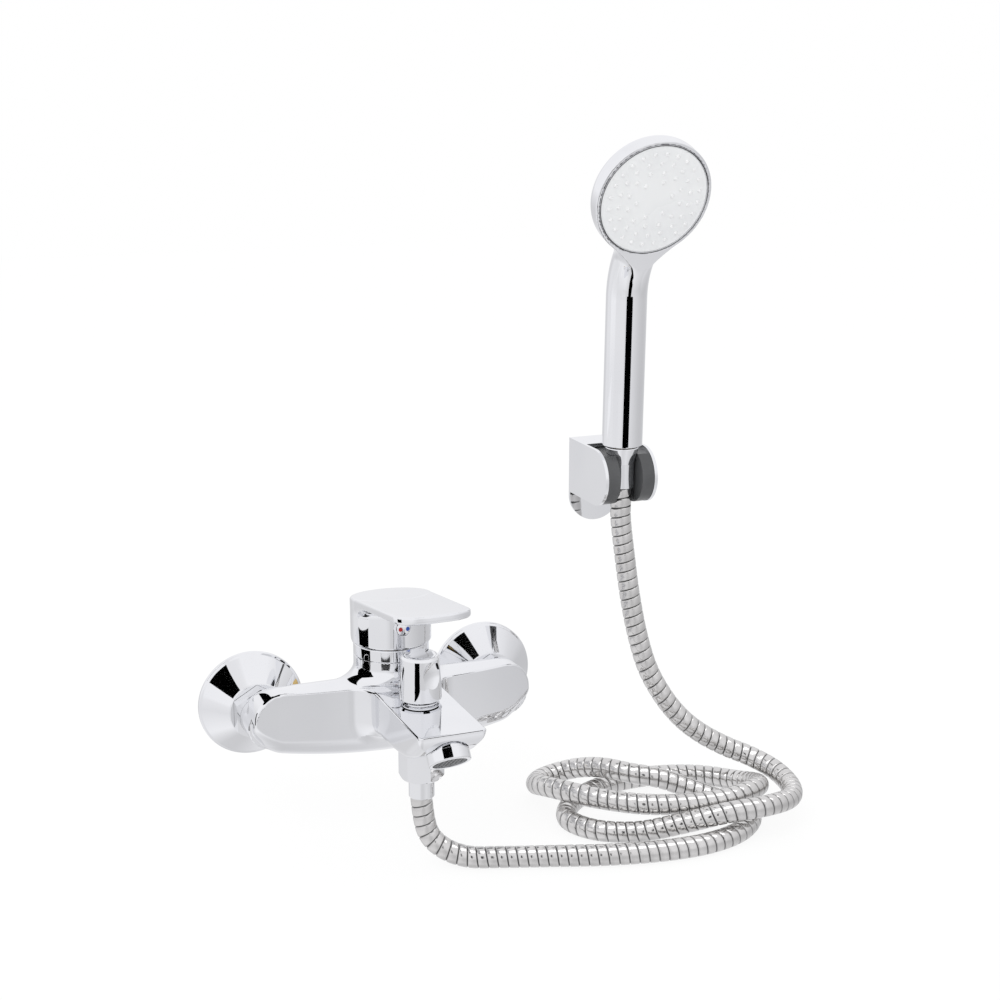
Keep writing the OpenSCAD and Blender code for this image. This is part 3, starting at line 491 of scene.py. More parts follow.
@dataclass
class Turned:
    """A turned piece: a closed profile with rounded corners, swept round an axis.

    Attributes:
        node: The solid that it stands for.
        finish: Its finish.
        body: The body that it rides on.
        origin: Where the axis starts, in millimetres.
        axis: The direction of the axis.
        profile: Radius, height and corner radius of each corner, in millimetres.
        steps: Faces round the axis.
        crease: The angle in degrees past which an edge stays sharp.
        bend_steps: Points along each rounded corner, less one.
    """

    node: str
    finish: Finish
    body: Body
    origin: Point
    axis: Point
    profile: Sequence[Point]
    steps: int = 128
    crease: float = 33.0
    bend_steps: int = 5

    def build(self, frame: dict) -> bpy.types.Object:
        """Builds the piece and hangs it on its body.

        Args:
            frame: The loaded frame, which this piece doesn't need.

        Returns:
            The new piece.
        """
        outline = self._outline()
        turn = Vector((0.0, 0.0, 1.0)).rotation_difference(Vector(self.axis)).to_matrix()
        mesh = bpy.data.meshes.new(f"{self.node}_turned")
        bm = bmesh.new()
        rows = []
        for step in range(self.steps):
            angle = math.tau * step / self.steps
            spots = [Vector((r * math.cos(angle), r * math.sin(angle), h)) for r, h in outline]
            places = [(Vector(self.origin) + turn @ spot) * MM for spot in spots]
            rows.append([bm.verts.new(place) for place in places])
        for near, far in zip(rows, rows[1:] + rows[:1]):
            for k, (radius, _) in enumerate(outline):
                follow = (k + 1) % len(outline)
                if max(radius, outline[follow][0]) > 1e-6:
                    bm.faces.new((near[k], far[k], far[follow], near[follow]))
        bmesh.ops.remove_doubles(bm, verts=bm.verts, dist=WELD)
        bmesh.ops.dissolve_degenerate(bm, dist=SLIVER, edges=bm.edges)
        bmesh.ops.recalc_face_normals(bm, faces=bm.faces)
        smooth(bm, self.crease)
        bm.to_mesh(mesh)
        bm.free()
        mesh.materials.append(self.finish.material())
        piece = new_object(f"{self.node}_turned", mesh)
        even_normals(piece)
        hang(piece, self.node, self.body)
        return piece

    def _outline(self) -> list[tuple[float, float]]:
        """Rounds the corners of the profile.

        Returns:
            Radius and height of each point.
        """
        points = []
        count = len(self.profile)
        for k, (radius, height, bend) in enumerate(self.profile):
            here = Vector((radius, height))
            before = Vector(self.profile[k - 1][:2]) - here
            after = Vector(self.profile[(k + 1) % count][:2]) - here
            if bend <= 0.0:
                points.append((radius, height))
                continue
            half = before.angle(after) / 2.0
            reach = min(bend / math.tan(half), 0.45 * before.length, 0.45 * after.length)
            start = here + before.normalized() * reach
            end = here + after.normalized() * reach
            for step in range(self.bend_steps + 1):
                share = step / self.bend_steps
                left = 1 - share
                spot = start * left ** 2 + here * 2 * share * left + end * share ** 2
                points.append((spot.x, spot.y))
        return points


def round_join(a: Grid, b: Grid, radius: float) -> Grid:
    """Unites two distance fields with a round fillet.

    Args:
        a: Distances to the first form.
        b: Distances to the second form.
        radius: Radius of the fillet.

    Returns:
        Distances to the united form.
    """
    gap = np.hypot(np.maximum(radius - a, 0.0), np.maximum(radius - b, 0.0))
    return np.maximum(radius, np.minimum(a, b)) - gap


def round_meet(a: Grid, b: Grid, radius: Union[float, Grid]) -> Grid:
    """Intersects two distance fields with a rounded edge.

    Args:
        a: Distances to the first form.
        b: Distances to the second form.
        radius: Radius of the edge, which may vary.

    Returns:
        Distances to the common form.
    """
    over = np.hypot(np.maximum(radius + a, 0.0), np.maximum(radius + b, 0.0))
    return np.minimum(-radius, np.maximum(a, b)) + over


def ease(value: Grid, start: float, end: float) -> Grid:
    """Rises smoothly from 0 to 1.

    Args:
        value: The values.
        start: Where the rise starts.
        end: Where the rise ends.

    Returns:
        Shares from 0 to 1.
    """
    share = np.clip((value - start) / (end - start), 0.0, 1.0)
    return share * share * (3.0 - 2.0 * share)


@dataclass
class CastForm:
    """A smooth closed skin over a distance field, for a casting whose surfaces flow together.

    Attributes:
        name: The piece's name.
        node: The solid that it stands for.
        body: The body that it rides on.
        low: Lowest corner of the space that holds it, in millimetres.
        high: Highest corner of that space, in millimetres.
        cell: Spacing of the skin's points, in millimetres.
    """

    name: str
    node: str
    body: Body
    low: Point
    high: Point
    cell: float

    def distance(self, x: Grid, y: Grid, z: Grid) -> Grid:
        """Gives the distance to the form, below 0 inside it."""
        raise NotImplementedError

    def build(self) -> bpy.types.Object:
        """Builds the piece and hangs it on its body.

        Returns:
            The piece.
        """
        points, quads = self._net()
        for _ in range(5):
            value, slope = self._slope(points)
            steep = np.maximum(np.sum(slope * slope, axis=1), 0.05)
            step = slope * (value / steep)[:, None]
            points = points - np.clip(step, -self.cell, self.cell)
        _, slope = self._slope(points)
        normals = slope / np.maximum(np.linalg.norm(slope, axis=1), 1e-9)[:, None]
        mesh = bpy.data.meshes.new(self.name)
        mesh.from_pydata((points * MM).tolist(), [], quads.tolist())
        mesh.polygons.foreach_set("use_smooth", [True] * len(mesh.polygons))
        mesh.normals_split_custom_set_from_vertices(normals.tolist())
        mesh.materials.append(CHROME.material())
        piece = new_object(self.name, mesh)
        hang(piece, self.node, self.body)
        return piece

    def _slope(self, points: Grid) -> tuple[Grid, Grid]:
        """Gives the distance and its slope at points.

        Args:
            points: Places in millimetres, one per row.

        Returns:
            The distances and the slopes.
        """
        reach = 0.02
        slope = np.empty_like(points)
        for axis in range(3):
            ahead, behind = points.copy(), points.copy()
            ahead[:, axis] += reach
            behind[:, axis] -= reach
            slope[:, axis] = (self.distance(*ahead.T) - self.distance(*behind.T)) / (2.0 * reach)
        return self.distance(*points.T), slope

    def _net(self) -> tuple[Grid, Grid]:
        """Nets the surface: a point in each cell that it crosses, a face over each crossed edge.

        Returns:
            The points in millimetres and the faces.
        """
        low, high = np.array(self.low), np.array(self.high)
        counts = np.ceil((high - low) / self.cell).astype(int) + 1
        axes = [low[k] + self.cell * np.arange(counts[k]) for k in range(3)]
        lattice = np.meshgrid(*axes, indexing="ij", sparse=True)
        field_at = np.broadcast_to(self.distance(*lattice), counts)
        inside = field_at < 0.0
        cells = counts - 1
        corners = [np.array((i, j, k)) for i in (0, 1) for j in (0, 1) for k in (0, 1)]
        spans = [tuple(slice(c, c + n) for c, n in zip(corner, cells)) for corner in corners]
        full = sum(inside[span].astype(np.int8) for span in spans)
        spots = np.argwhere((full > 0) & (full < 8))
        number = np.full(cells, -1, dtype=np.int64)
        number[tuple(spots.T)] = np.arange(len(spots))
        total, hits = np.zeros(spots.shape), np.zeros(len(spots))
        steps = np.eye(3, dtype=int)
        for corner in corners:
            for axis in range(3):
                if corner[axis] == 1:
                    continue
                near = field_at[tuple((spots + corner).T)]
                far = field_at[tuple((spots + corner + steps[axis]).T)]
                cross = (near < 0.0) != (far < 0.0)
                share = np.where(cross, near / np.where(cross, near - far, 1.0), 0.0)
                total += (spots + corner + share[:, None] * steps[axis]) * cross[:, None]
                hits += cross
        quads = [self._faces(inside, number, axis, steps) for axis in range(3)]
        return low + self.cell * total / hits[:, None], np.concatenate(quads)

    def _faces(self, inside: Grid, number: Grid, axis: int, steps: Grid) -> Grid:
        """Lays a face over each grid edge along one axis that the surface crosses.

        Args:
            inside: Which grid points lie inside.
            number: The point number of each cell.
            axis: The axis of the edges.
            steps: Unit steps along the three axes.

        Returns:
            Four point numbers for each face.
        """
        rows = np.moveaxis(inside, axis, 0)
        change = np.moveaxis(rows[:-1] != rows[1:], 0, axis)
        edges = np.argwhere(change)
        u, v = steps[(axis + 1) % 3], steps[(axis + 2) % 3]
        edges = edges[(edges @ u > 0) & (edges @ v > 0)]
        sides = ((1, 1), (0, 1), (0, 0), (1, 0))
        faces = np.stack([number[tuple((edges - a * u - b * v).T)] for a, b in sides], axis=1)
        outward = inside[tuple(edges.T)]
        faces[~outward] = faces[~outward][:, ::-1]
        return faces


@dataclass
class BodyCasting(CastForm):
    """The mixer's casting: bar, tower and spout that flow into each other."""

    name: str = "mixer_body_casting"
    node: str = "mixer_body"
    body: Body = Body.FIXTURE
    low: Point = (-90.0, -156.0, -22.5)
    high: Point = (90.0, -19.0, 40.5)
    cell: float = 0.9
    half_len: float = 86.5
    top: float = 25.0
    bottom: float = -21.0
    back: float = 27.0
    front: float = 66.5
    bow: float = 330.0
    belly: float = 574.8
    end_round: float = 20.0
    crown: float = 24.0
    heel: float = 14.0
    rim: float = 1.4
    under: float = 15.0
    axis: float = 47.0
    tower_radius: float = 22.5
    tower_top: float = 38.0
    tower_base: float = 4.0
    sweep: float = 12.6
    spout_half: float = 20.0
    spout_reach: float = 153.0
    flare: float = 13.0
    keel: float = 6.5
    outlet: float = 99.0
    outlet_level: float = -2.5
    mouth: tuple[float, float] = (146.7, 4.7)
    mouth_tilt: float = 36.0
    mouth_length: float = 6.75
    inlet: float = 75.0
    boss: float = 12.95
    boss_face: float = 22.85
    boss_fillet: float = 1.0
    roof_meet: float = 3.0
    soft_from: float = -6.0
    soft_to: float = 9.0
    ramp_start: tuple[float, float] = (114.0, -0.9)
    ramp_rise: tuple[float, float] = (18.6, 3.7)
    ramp_round: float = 6.0
    nose_round: float = 5.0
    plan_round: float = 3.0
    # Radius and floor of each step of the cartridge's and the diverter's pockets
    cartridge_steps: Sequence[tuple[float, float]] = ((16.9, 3.0), (19.5, 30.0))
    diverter_steps: Sequence[tuple[float, float]] = ((8.0, -6.0), (9.85, 17.0))
    aerator_bore: float = 11.05
    aerator_span: tuple[float, float] = (3.75, 13.75)

    def distance(self, x: Grid, y: Grid, z: Grid) -> Grid:
        """Gives the distance to the casting, below 0 inside it.

        Args:
            x: Places to the right, in millimetres.
            y: Places towards the wall, in millimetres.
            z: Heights, in millimetres.

        Returns:
            The distances.
        """
        out = -y
        side = np.abs(x) - self.half_len
        core = round_join(self._bar(x, out, z, side), self._spout(x, out, z), self.flare)
        roof = round_meet(side, z - self.top, self.end_round)
        rear = round_meet(self.back - out, z - self.top, self.crown)
        roof = round_meet(roof, rear, self.roof_meet)
        form = round_meet(core, roof, self.rim)
        shaft = np.hypot(x, out - self.axis)
        ends = np.maximum(z - self.tower_top, self.tower_base - z)
        tower = np.maximum(shaft - self.tower_radius, ends)
        form = round_join(form, tower, self.sweep)
        boss = np.hypot(np.abs(x) - self.inlet, z) - self.boss
        boss = np.maximum(boss, np.maximum(self.boss_face - out, out - self.axis))
        form = round_join(form, boss, self.boss_fillet)
        return np.maximum(form, -self._pockets(x, out, z, shaft))

    def _bar(self, x: Grid, out: Grid, z: Grid, side: Grid) -> Grid:
        """Gives the distance to the bar, which is open above.

        Args:
            x: Places to the right.
            out: Distances from the wall.
            z: Heights.
            side: Distances past the bar's ends.

        Returns:
            The distances.
        """
        belly = np.hypot(x, z - self.bottom - self.belly) - self.belly
        hull = round_meet(side, belly, self.end_round - 2.0)
        hull = round_meet(hull, self.back - out, self.heel)
        bow = np.hypot(x, out - self.front + self.bow) - self.bow
        soft = self.rim + (self.under - self.rim) * ease(-z, self.soft_from, self.soft_to)
        return round_meet(hull, bow, soft)

    def _spout(self, x: Grid, out: Grid, z: Grid) -> Grid:
        """Gives the distance to the spout, which is open above.

        Args:
            x: Places to the right.
            out: Distances from the wall.
            z: Heights.

        Returns:
            The distances.
        """
        lean = math.radians(self.mouth_tilt)
        rise = math.atan2(self.ramp_rise[1], self.ramp_rise[0])
        height = self.ramp_start[1] + math.tan(rise) * (out - self.ramp_start[0])
        ramp = (height - z) * math.cos(rise)
        nose = (out - self.mouth[0]) * math.sin(lean) - (z - self.mouth[1]) * math.cos(lean)
        nose = nose + self.mouth_length
        keel = round_meet(self.outlet_level - z, ramp, self.ramp_round)
        keel = round_meet(keel, nose, self.nose_round)
        plan = round_meet(np.abs(x) - self.spout_half, out - self.spout_reach, self.plan_round)
        return round_meet(plan, keel, self.keel)

    def _pockets(self, x: Grid, out: Grid, z: Grid, shaft: Grid) -> Grid:
        """Gives the distance to the hollows for the cartridge, the diverter and the aerator.

        Args:
            x: Places to the right.
            out: Distances from the wall.
            z: Heights.
            shaft: Distances from the tower's axis.

        Returns:
            The distances.
        """
        stem = np.hypot(x, out - self.outlet)
        wells = [np.maximum(shaft - radius, floor - z) for radius, floor in self.cartridge_steps]
        wells += [np.maximum(stem - radius, floor - z) for radius, floor in self.diverter_steps]
        lean = math.radians(self.mouth_tilt)
        along = (self.mouth[0] - out) * math.sin(lean) + (z - self.mouth[1]) * math.cos(lean)
        across = (self.mouth[0] - out) * math.cos(lean) - (z - self.mouth[1]) * math.sin(lean)
        span = np.maximum(self.aerator_span[0] - along, along - self.aerator_span[1])
        pockets = np.maximum(np.hypot(x, across) - self.aerator_bore, span)
        for well in wells:
            pockets = np.minimum(pockets, well)
        return pockets


@dataclass
class LeverCasting(CastForm):
    """The lever: a cap that flows into a flat handle plate."""

    name: str = "lever_casting"
    node: str = "lever"
    body: Body = Body.LEVER
    low: Point = (-26.0, -138.0, 44.0)
    high: Point = (26.0, -20.0, 91.0)
    cell: float = 0.62
    axis: float = 47.0
    cap_radius: float = 23.9
    cap_inside: float = 21.4
    cap_low: float = 46.2
    cap_roof: float = 64.2
    plate_level: float = 73.2
    plate_depth: float = 4.6
    rise: float = 8.6
    reach: float = 87.4
    front_half: float = 22.4
    corner: float = 15.5
    bow: float = 58.0
    throat: float = 7.0
    top_rim: float = 1.3
    low_rim: float = 1.9
    relief: float = 22.5
    button: float = 4.25
    button_level: float = 59.1
    cap_blend: float = 0.8
    foot_round: float = 0.8
    hole_depth: float = 2.0
    bow_round: float = 4.0

    def distance(self, x: Grid, y: Grid, z: Grid) -> Grid:
        """Gives the distance to the lever, below 0 inside it.

        Args:
            x: Places to the right, in millimetres.
            y: Places towards the wall, in millimetres.
            z: Heights, in millimetres.

        Returns:
            The distances.
        """
        back = y + self.axis
        tilt = math.radians(self.rise)
        flat = back * math.cos(tilt) - (z - self.plate_level) * math.sin(tilt)
        level = back * math.sin(tilt) + (z - self.plate_level) * math.cos(tilt)
        shaft = np.hypot(x, back)
        cap = shaft - self.cap_radius
        flow = round_join(cap, -self.plate_depth - level, self.throat)
        plate = round_meet(flow, self._plan(x, flat), self.low_rim)
        plate = round_meet(plate, level, self.top_rim)
        stem = round_meet(cap, level, self.top_rim)
        blend = np.clip(0.5 + 0.5 * (stem - plate) / self.cap_blend, 0.0, 1.0)
        form = stem + (plate - stem) * blend - 0.5 * self.cap_blend * blend * (1.0 - blend)
        form = round_meet(form, self.cap_low - z, self.foot_round)
        hollow = np.maximum(shaft - self.cap_inside, z - self.cap_roof)
        slope = math.radians(self.relief)
        behind = back * math.cos(slope) + (z - self.cap_low) * math.sin(slope)
        above = (z - self.cap_low) * math.cos(slope) - back * math.sin(slope)
        hole = np.maximum(np.hypot(x, z - self.button_level) - self.button,
                          back + self.cap_inside - self.hole_depth)
        form = np.maximum(form, -hollow)
        form = np.maximum(form, -np.maximum(-behind, above))
        return np.maximum(form, -hole)

    def _plan(self, x: Grid, flat: Grid) -> Grid:
        """Gives the distance to the plate's outline in its own plane.

        Args:
            x: Places to the right.
            flat: Places towards the wall along the plate.

        Returns:
            The distances.
        """
        straight = self.reach - self.corner
        taper = (self.cap_radius - self.front_half) * np.clip(-flat / straight, 0.0, 1.0)
        blade = round_meet(np.abs(x) - self.cap_radius + taper, -self.reach - flat, self.corner)
        bow = np.hypot(x, flat + self.reach - self.bow) - self.bow
        blade = round_meet(blade, bow, self.bow_round)
        return np.where(flat > 0.0, np.hypot(x, flat) - self.cap_radius, blade)


@dataclass
class HandsetCasting(CastForm):
    """The hand shower's shell: a handle that flows into the round head."""

    name: str = "handset_casting"
    node: str = "handset_shell"
    body: Body = Body.HANDSET
    low: Point = (114.0, -100.0, 147.0)
    high: Point = (193.0, -12.0, 341.0)
    cell: float = 0.85
    hold: tuple[float, float] = (153.5, -40.0)
    foot: float = 149.0
    handle_radius: float = 12.4
    handle_length: float = 91.0
    lean: float = 1.7
    neck: float = 45.0
    neck_turn: float = 50.0
    neck_run: float = 15.0
    face: tuple[float, float] = (37.0, 300.8)
    face_tilt: float = 21.0
    head_radius: float = 36.3
    head_depth: float = 14.5
    head_round: float = 7.5
    flow: float = 9.0
    cavity_radius: float = 34.3
    cavity_depth: float = 10.0
    foot_round: float = 0.8
    face_round: float = 0.7
    face_bound: float = 1.5

    def distance(self, x: Grid, y: Grid, z: Grid) -> Grid:
        """Gives the distance to the shell, below 0 inside it.

        Args:
            x: Places to the right, in millimetres.
            y: Places towards the wall, in millimetres.
            z: Heights, in millimetres.

        Returns:
            The distances.
        """
        wide = x - self.hold[0]
        out = self.hold[1] - y
        stalk = self._stalk(wide, out, z - self.foot)
        form = round_meet(stalk, self.foot - z, self.foot_round)
        tilt = math.radians(self.face_tilt)
        ahead = (out - self.face[0]) * math.cos(tilt) - (z - self.face[1]) * math.sin(tilt)
        up = (out - self.face[0]) * math.sin(tilt) + (z - self.face[1]) * math.cos(tilt)
        disc = np.hypot(wide, up)
        head = round_meet(disc - self.head_radius, -ahead - self.head_depth, self.head_round)
        form = round_join(form, head, self.flow)
        face_cut = np.minimum(ahead, self.face_bound * self.head_radius - disc)
        form = round_meet(form, face_cut, self.face_round)
        cavity = np.maximum(disc - self.cavity_radius, -ahead - self.cavity_depth)
        return np.maximum(form, -cavity)

    def _stalk(self, wide: Grid, out: Grid, up: Grid) -> Grid:
        """Gives the distance to the handle and its bent neck.

        Args:
            wide: Places to the right of the handle.
            out: Places in front of the handle.
            up: Heights above the handle's foot.

        Returns:
            The distances.
        """
        lean = math.radians(self.lean)
        ahead = out * math.cos(lean) - up * math.sin(lean)
        rise = out * math.sin(lean) + up * math.cos(lean) - self.handle_length
        turn = np.clip(np.arctan2(rise, self.neck - ahead), 0.0, math.radians(self.neck_turn))
        near = self.neck * (1.0 - np.cos(turn))
        high = self.neck * np.sin(turn)
        along = (ahead - near) * np.sin(turn) + (rise - high) * np.cos(turn)
        along = np.where(rise < 0.0, np.minimum(rise, 0.0), np.clip(along, 0.0, self.neck_run))
        near = near + np.where(rise < 0.0, 0.0, along * np.sin(turn))
        high = high + np.where(rise < 0.0, along, along * np.cos(turn))
        away = np.sqrt(wide ** 2 + (ahead - near) ** 2 + (rise - high) ** 2)
        return away - self.handle_radius


@dataclass
class StudioCamera:
    """The photograph's viewpoint."""

    place: Point = (-0.32003, -1.01208, 0.39204)
    pitch: float = 75.549
    turn: float = -22.0
    lens: float = 64.8
    sensor: float = 36.0

    def build(self) -> bpy.types.Object:
        """Makes the camera the scene's camera.

        Returns:
            The camera object.
        """
        data = bpy.data.cameras.new("photo_camera")
        data.sensor_fit = "HORIZONTAL"
        data.sensor_width = self.sensor
        data.lens = self.lens
        camera = bpy.data.objects.new("photo_camera", data)
        camera.location = self.place
        camera.rotation_euler = (math.radians(self.pitch), 0.0, math.radians(self.turn))
        bpy.context.scene.collection.objects.link(camera)
        bpy.context.scene.camera = camera
        return camera


@dataclass(frozen=True)
class Tent:
    """The pale surround that polished metal mirrors.

    Attributes:
        tones: Brightness at each height, from straight down at 0 to straight up at 1.
        sides: Share of it at each side, from the left at 0 to the right at 1.
        most: The brightest tone that it reaches.
    """

    tones: Sequence[tuple[float, float]] = (
        (0.0, 0.66), (0.10, 0.80), (0.335, 0.69), (0.46, 0.74), (0.56, 0.87), (0.75, 0.97))
    sides: Sequence[tuple[float, float]] = (
        (0.0, 1.22), (0.22, 1.22), (0.36, 1.0), (0.46, 1.0), (0.64, 1.12), (0.80, 1.02),
        (1.0, 0.86))
    most: Colour = (0.98, 0.98, 1.0)

    def shade(self, build: Tree, direction: bpy.types.NodeSocket) -> bpy.types.NodeSocket:
        """Gives the surround's colour in a direction.

        Args:
            build: The tree that asks.
            direction: The direction's socket.

        Returns:
            The colour's socket.
        """
        split = build.add("ShaderNodeSeparateXYZ", {0: direction})
        high = self._ramp(build, split.outputs["Z"], self.tones)
        wide = self._ramp(build, split.outputs["X"], self.sides)
        graded = build.scaled(build.vector("MULTIPLY", high, wide), 4.0)
        return build.vector("MINIMUM", graded, self.most)

    def _ramp(self, build: Tree, value: bpy.types.NodeSocket,
              stops: Sequence[tuple[float, float]]) -> bpy.types.NodeSocket:
        """Grades half the brightness along one axis.

        Args:
            build: The tree.
            value: The direction's share of the axis, from -1 to 1.
            stops: Places from 0 to 1 with their brightness.

        Returns:
            The colour's socket.
        """
        ramp = build.add("ShaderNodeValToRGB")
        marks = ramp.color_ramp.elements
        while len(marks) < len(stops):
            marks.new(1.0)
        for mark, (level, tone) in zip(marks, stops):
            mark.position = level
            mark.color = (0.5 * tone, 0.5 * tone, 0.505 * tone, 1.0)
        place = build.add("ShaderNodeMath", {0: value, 1: 0.5, 2: 0.5}, operation="MULTIPLY_ADD")
        build.feed(ramp.inputs["Fac"], place.outputs[0])
        return ramp.outputs["Color"]


@dataclass(frozen=True)
class Card:
    """A flat studio card that only polished surfaces see.

    Attributes:
        name: The card's name.
        centre: Its middle.
        facing: The point that it faces.
        width: Its width.
        height: Its height.
        dark_on: The pieces that mirror it as a black card. The others mirror the surround there.
        along: The direction of its width, which is level unless given.
    """

    name: str
    centre: Point
    facing: Point
    width: float
    height: float
    dark_on: Sequence[str]
    along: Optional[Point] = None

    def build(self, tent: Tent, middle: Point) -> bpy.types.Object:
        """Builds the card.

        Args:
            tent: The surround that it hangs in.
            middle: The place that the surround is seen from.

        Returns:
            The card's object.
        """
        normal = (Vector(self.facing) - Vector(self.centre)).normalized()
        side = Vector(self.along) if self.along else Vector((0.0, 0.0, 1.0)).cross(normal)
        side = (side - normal * side.dot(normal)).normalized()
        rise = normal.cross(side)
        reach, lift = side * (self.width / 2), rise * (self.height / 2)
        signs = ((-1, -1), (1, -1), (1, 1), (-1, 1))
        corners = [Vector(self.centre) + reach * a + lift * b for a, b in signs]
        mesh = bpy.data.meshes.new(self.name)
        mesh.from_pydata(corners, [], [(0, 1, 2, 3)])
        material = bpy.data.materials.new(self.name)
        material.use_nodes = True
        build = Tree(material.node_tree)
        place = build.add("ShaderNodeTexCoord").outputs["Object"]
        away = build.add("ShaderNodeVectorMath", {0: build.vector("SUBTRACT", place, middle)},
                         operation="NORMALIZE").outputs[0]
        glow = build.add("ShaderNodeEmission", {"Color": tent.shade(build, away)})
        build.add("ShaderNodeOutputMaterial", {"Surface": glow.outputs["Emission"]})
        mesh.materials.append(material)
        card = new_object(self.name, mesh)
        for ray in ("camera", "diffuse", "transmission", "volume_scatter", "shadow"):
            setattr(card, f"visible_{ray}", False)
        lit = bpy.data.collections.new(f"{self.name}_lights")
        for other in bpy.context.scene.collection.all_objects:
            if other.type == "MESH" and other.name not in self.dark_on:
                lit.objects.link(other)
        card.light_linking.receiver_collection = lit
        return card


@dataclass
class Studio:
    """Pale floor, white surround, soft light and the dark cards that polished metal mirrors."""

    floor_level: float = -0.0785
    floor_half: float = 3.0
    floor_tone: tuple[float, float, float, float] = (0.95, 0.95, 0.95, 1.0)
    floor_glow: float = 1.03
    floor_plain: float = 0.86
    light: float = 0.86
    lamp_place: Point = (-0.9, -1.1, 1.5)
    lamp_aim: Point = (0.08, -0.06, 0.08)
    strip_place: Point = (0.05, -0.35, 1.2)
    tent: Tent = Tent()
    middle: Point = (0.06, -0.07, 0.06)
    cards: Sequence[Card] = (
        Card("card_left", (-0.78, 0.16, -0.0825), (0.0, -0.047, 0.04), 0.60, 0.365, TOWER),
        Card("card_sweep", (-0.089, -0.040, 0.058), (-0.025, -0.055, 0.034), 0.080, 0.060,
             ("mixer_body_casting",)),
        Card("card_tail", (-0.09, 0.043, 0.12), (-0.035, -0.06, 0.026), 0.13, 0.045,
             ("mixer_body_casting",)),
        Card("card_over", (0.0, -2.35, 3.16), (0.0, -0.10, 0.07), 2.60, 2.10, ("lever_casting",)),
        Card("card_knob", (-0.48, -0.74, -0.15), (0.0, -0.10, -0.15), 0.405, 0.20,
             ("diverter_knob_polished",)),
        Card("card_ring", (-0.49, -0.74, -0.245), (0.0, -0.05, -0.245), 0.405, 0.05,
             ("mixer_body_casting", "tower_ring_turned")),
        Card("card_handle", (-0.10, -2.05, -0.275), (0.1535, -0.04, -0.275), 1.28, 0.47, SHELL),
        Card("card_neck", (-0.03, -1.10, -0.95), (0.15, -0.05, 0.25), 0.50, 1.90, SHELL),
        Card("card_rim", (0.58, -0.70, -0.36), (0.1535, -0.077, 0.3008), 0.80, 0.80,
             ("rim_ring_turned",)),
        Card("card_wedge", (-0.80, -0.63, 0.98), (-0.02, -0.02, 0.0), 1.45, 0.30, ROSETTES,
             (-0.775, 0.03, -0.632)),
        Card("card_edge", (0.78, -2.32, 2.72), (0.0, -0.10, 0.02), 2.60, 2.50,
             ("mixer_body_casting",)),
        Card("card_lens", (-0.32, -1.02, 0.39), (0.12, -0.12, -0.07), 0.18, 0.55, ("wound_hose",)),
        Card("card_mouth", (-0.32, -0.785, 0.71), (0.0, -0.15, 0.008), 0.92, 0.45,
             ("aerator_ring_turned",), (0.945, -0.265, 0.192)),
    )

    def build(self) -> None:
        """Builds the whole studio."""
        scene = bpy.context.scene
        scene.view_settings.view_transform = "Standard"
        self._world(scene)
        self._floor()
        self._lamp()
        self._strip_lamp()
        for card in self.cards:
            card.build(self.tent, self.middle)

    def _world(self, scene: bpy.types.Scene) -> None:
        """Makes a white surround that is graded for reflections.

        Args:
            scene: The scene.
        """
        world = bpy.data.worlds.new("white_tent")
        world.use_nodes = True
        scene.world = world
        build = Tree(world.node_tree)
        rays = build.add("ShaderNodeLightPath").outputs
        away = build.add("ShaderNodeTexCoord").outputs["Generated"]
        tent = build.add("ShaderNodeBackground", {"Color": self.tent.shade(build, away)})
        soft = build.add("ShaderNodeBackground", {"Color": PURE_WHITE, "Strength": self.light})
        white = build.add("ShaderNodeBackground", {"Color": PURE_WHITE})
        mirrored = build.add("ShaderNodeMixShader", {
            0: rays["Is Glossy Ray"], 1: soft.outputs[0], 2: tent.outputs[0]})
        direct = build.math("MAXIMUM", rays["Is Camera Ray"], rays["Is Transmission Ray"])
        seen = build.add("ShaderNodeMixShader", {
            0: direct, 1: mirrored.outputs[0], 2: white.outputs[0]})
        build.add("ShaderNodeOutputWorld", {"Surface": seen.outputs[0]})

    def _floor(self) -> None:
        """Makes the pale floor that the hose lies on, with a faint soft shadow."""
        half, level = self.floor_half, self.floor_level
        signs = ((-1, -1), (1, -1), (1, 1), (-1, 1))
        mesh = bpy.data.meshes.new("pale_floor")
        mesh.from_pydata([(a * half, b * half, level) for a, b in signs], [], [(0, 1, 2, 3)])
        material = bpy.data.materials.new("pale_floor")
        material.use_nodes = True
        build = Tree(material.node_tree)
        matt = build.add("ShaderNodeBsdfDiffuse", {"Color": self.floor_tone})
        plain = build.add("ShaderNodeEmission", {
            "Color": PURE_WHITE, "Strength": self.floor_glow})
        rays = build.add("ShaderNodeLightPath").outputs
        share = build.math("MULTIPLY", rays["Is Camera Ray"], self.floor_plain)
        mix = build.add("ShaderNodeMixShader", {0: share, 1: matt.outputs[0], 2: plain.outputs[0]})
        build.add("ShaderNodeOutputMaterial", {"Surface": mix.outputs[0]})
        mesh.materials.append(material)
        floor = new_object("pale_floor", mesh)
        floor.visible_glossy = False

    def _area_lamp(self, name: str, place: Point, size: tuple[float, float],
                   energy: float) -> bpy.types.Object:
        """Adds a rectangular lamp that points down.

        Args:
            name: The lamp's name.
            place: Where it hangs.
            size: Its width and depth.
            energy: Its power in watts.

        Returns:
            The lamp's object.
        """
        data = bpy.data.lights.new(name, "AREA")
        data.shape = "RECTANGLE"
        data.size, data.size_y = size
        data.energy = energy
        lamp = bpy.data.objects.new(name, data)
        lamp.location = place
        bpy.context.scene.collection.objects.link(lamp)
        return lamp

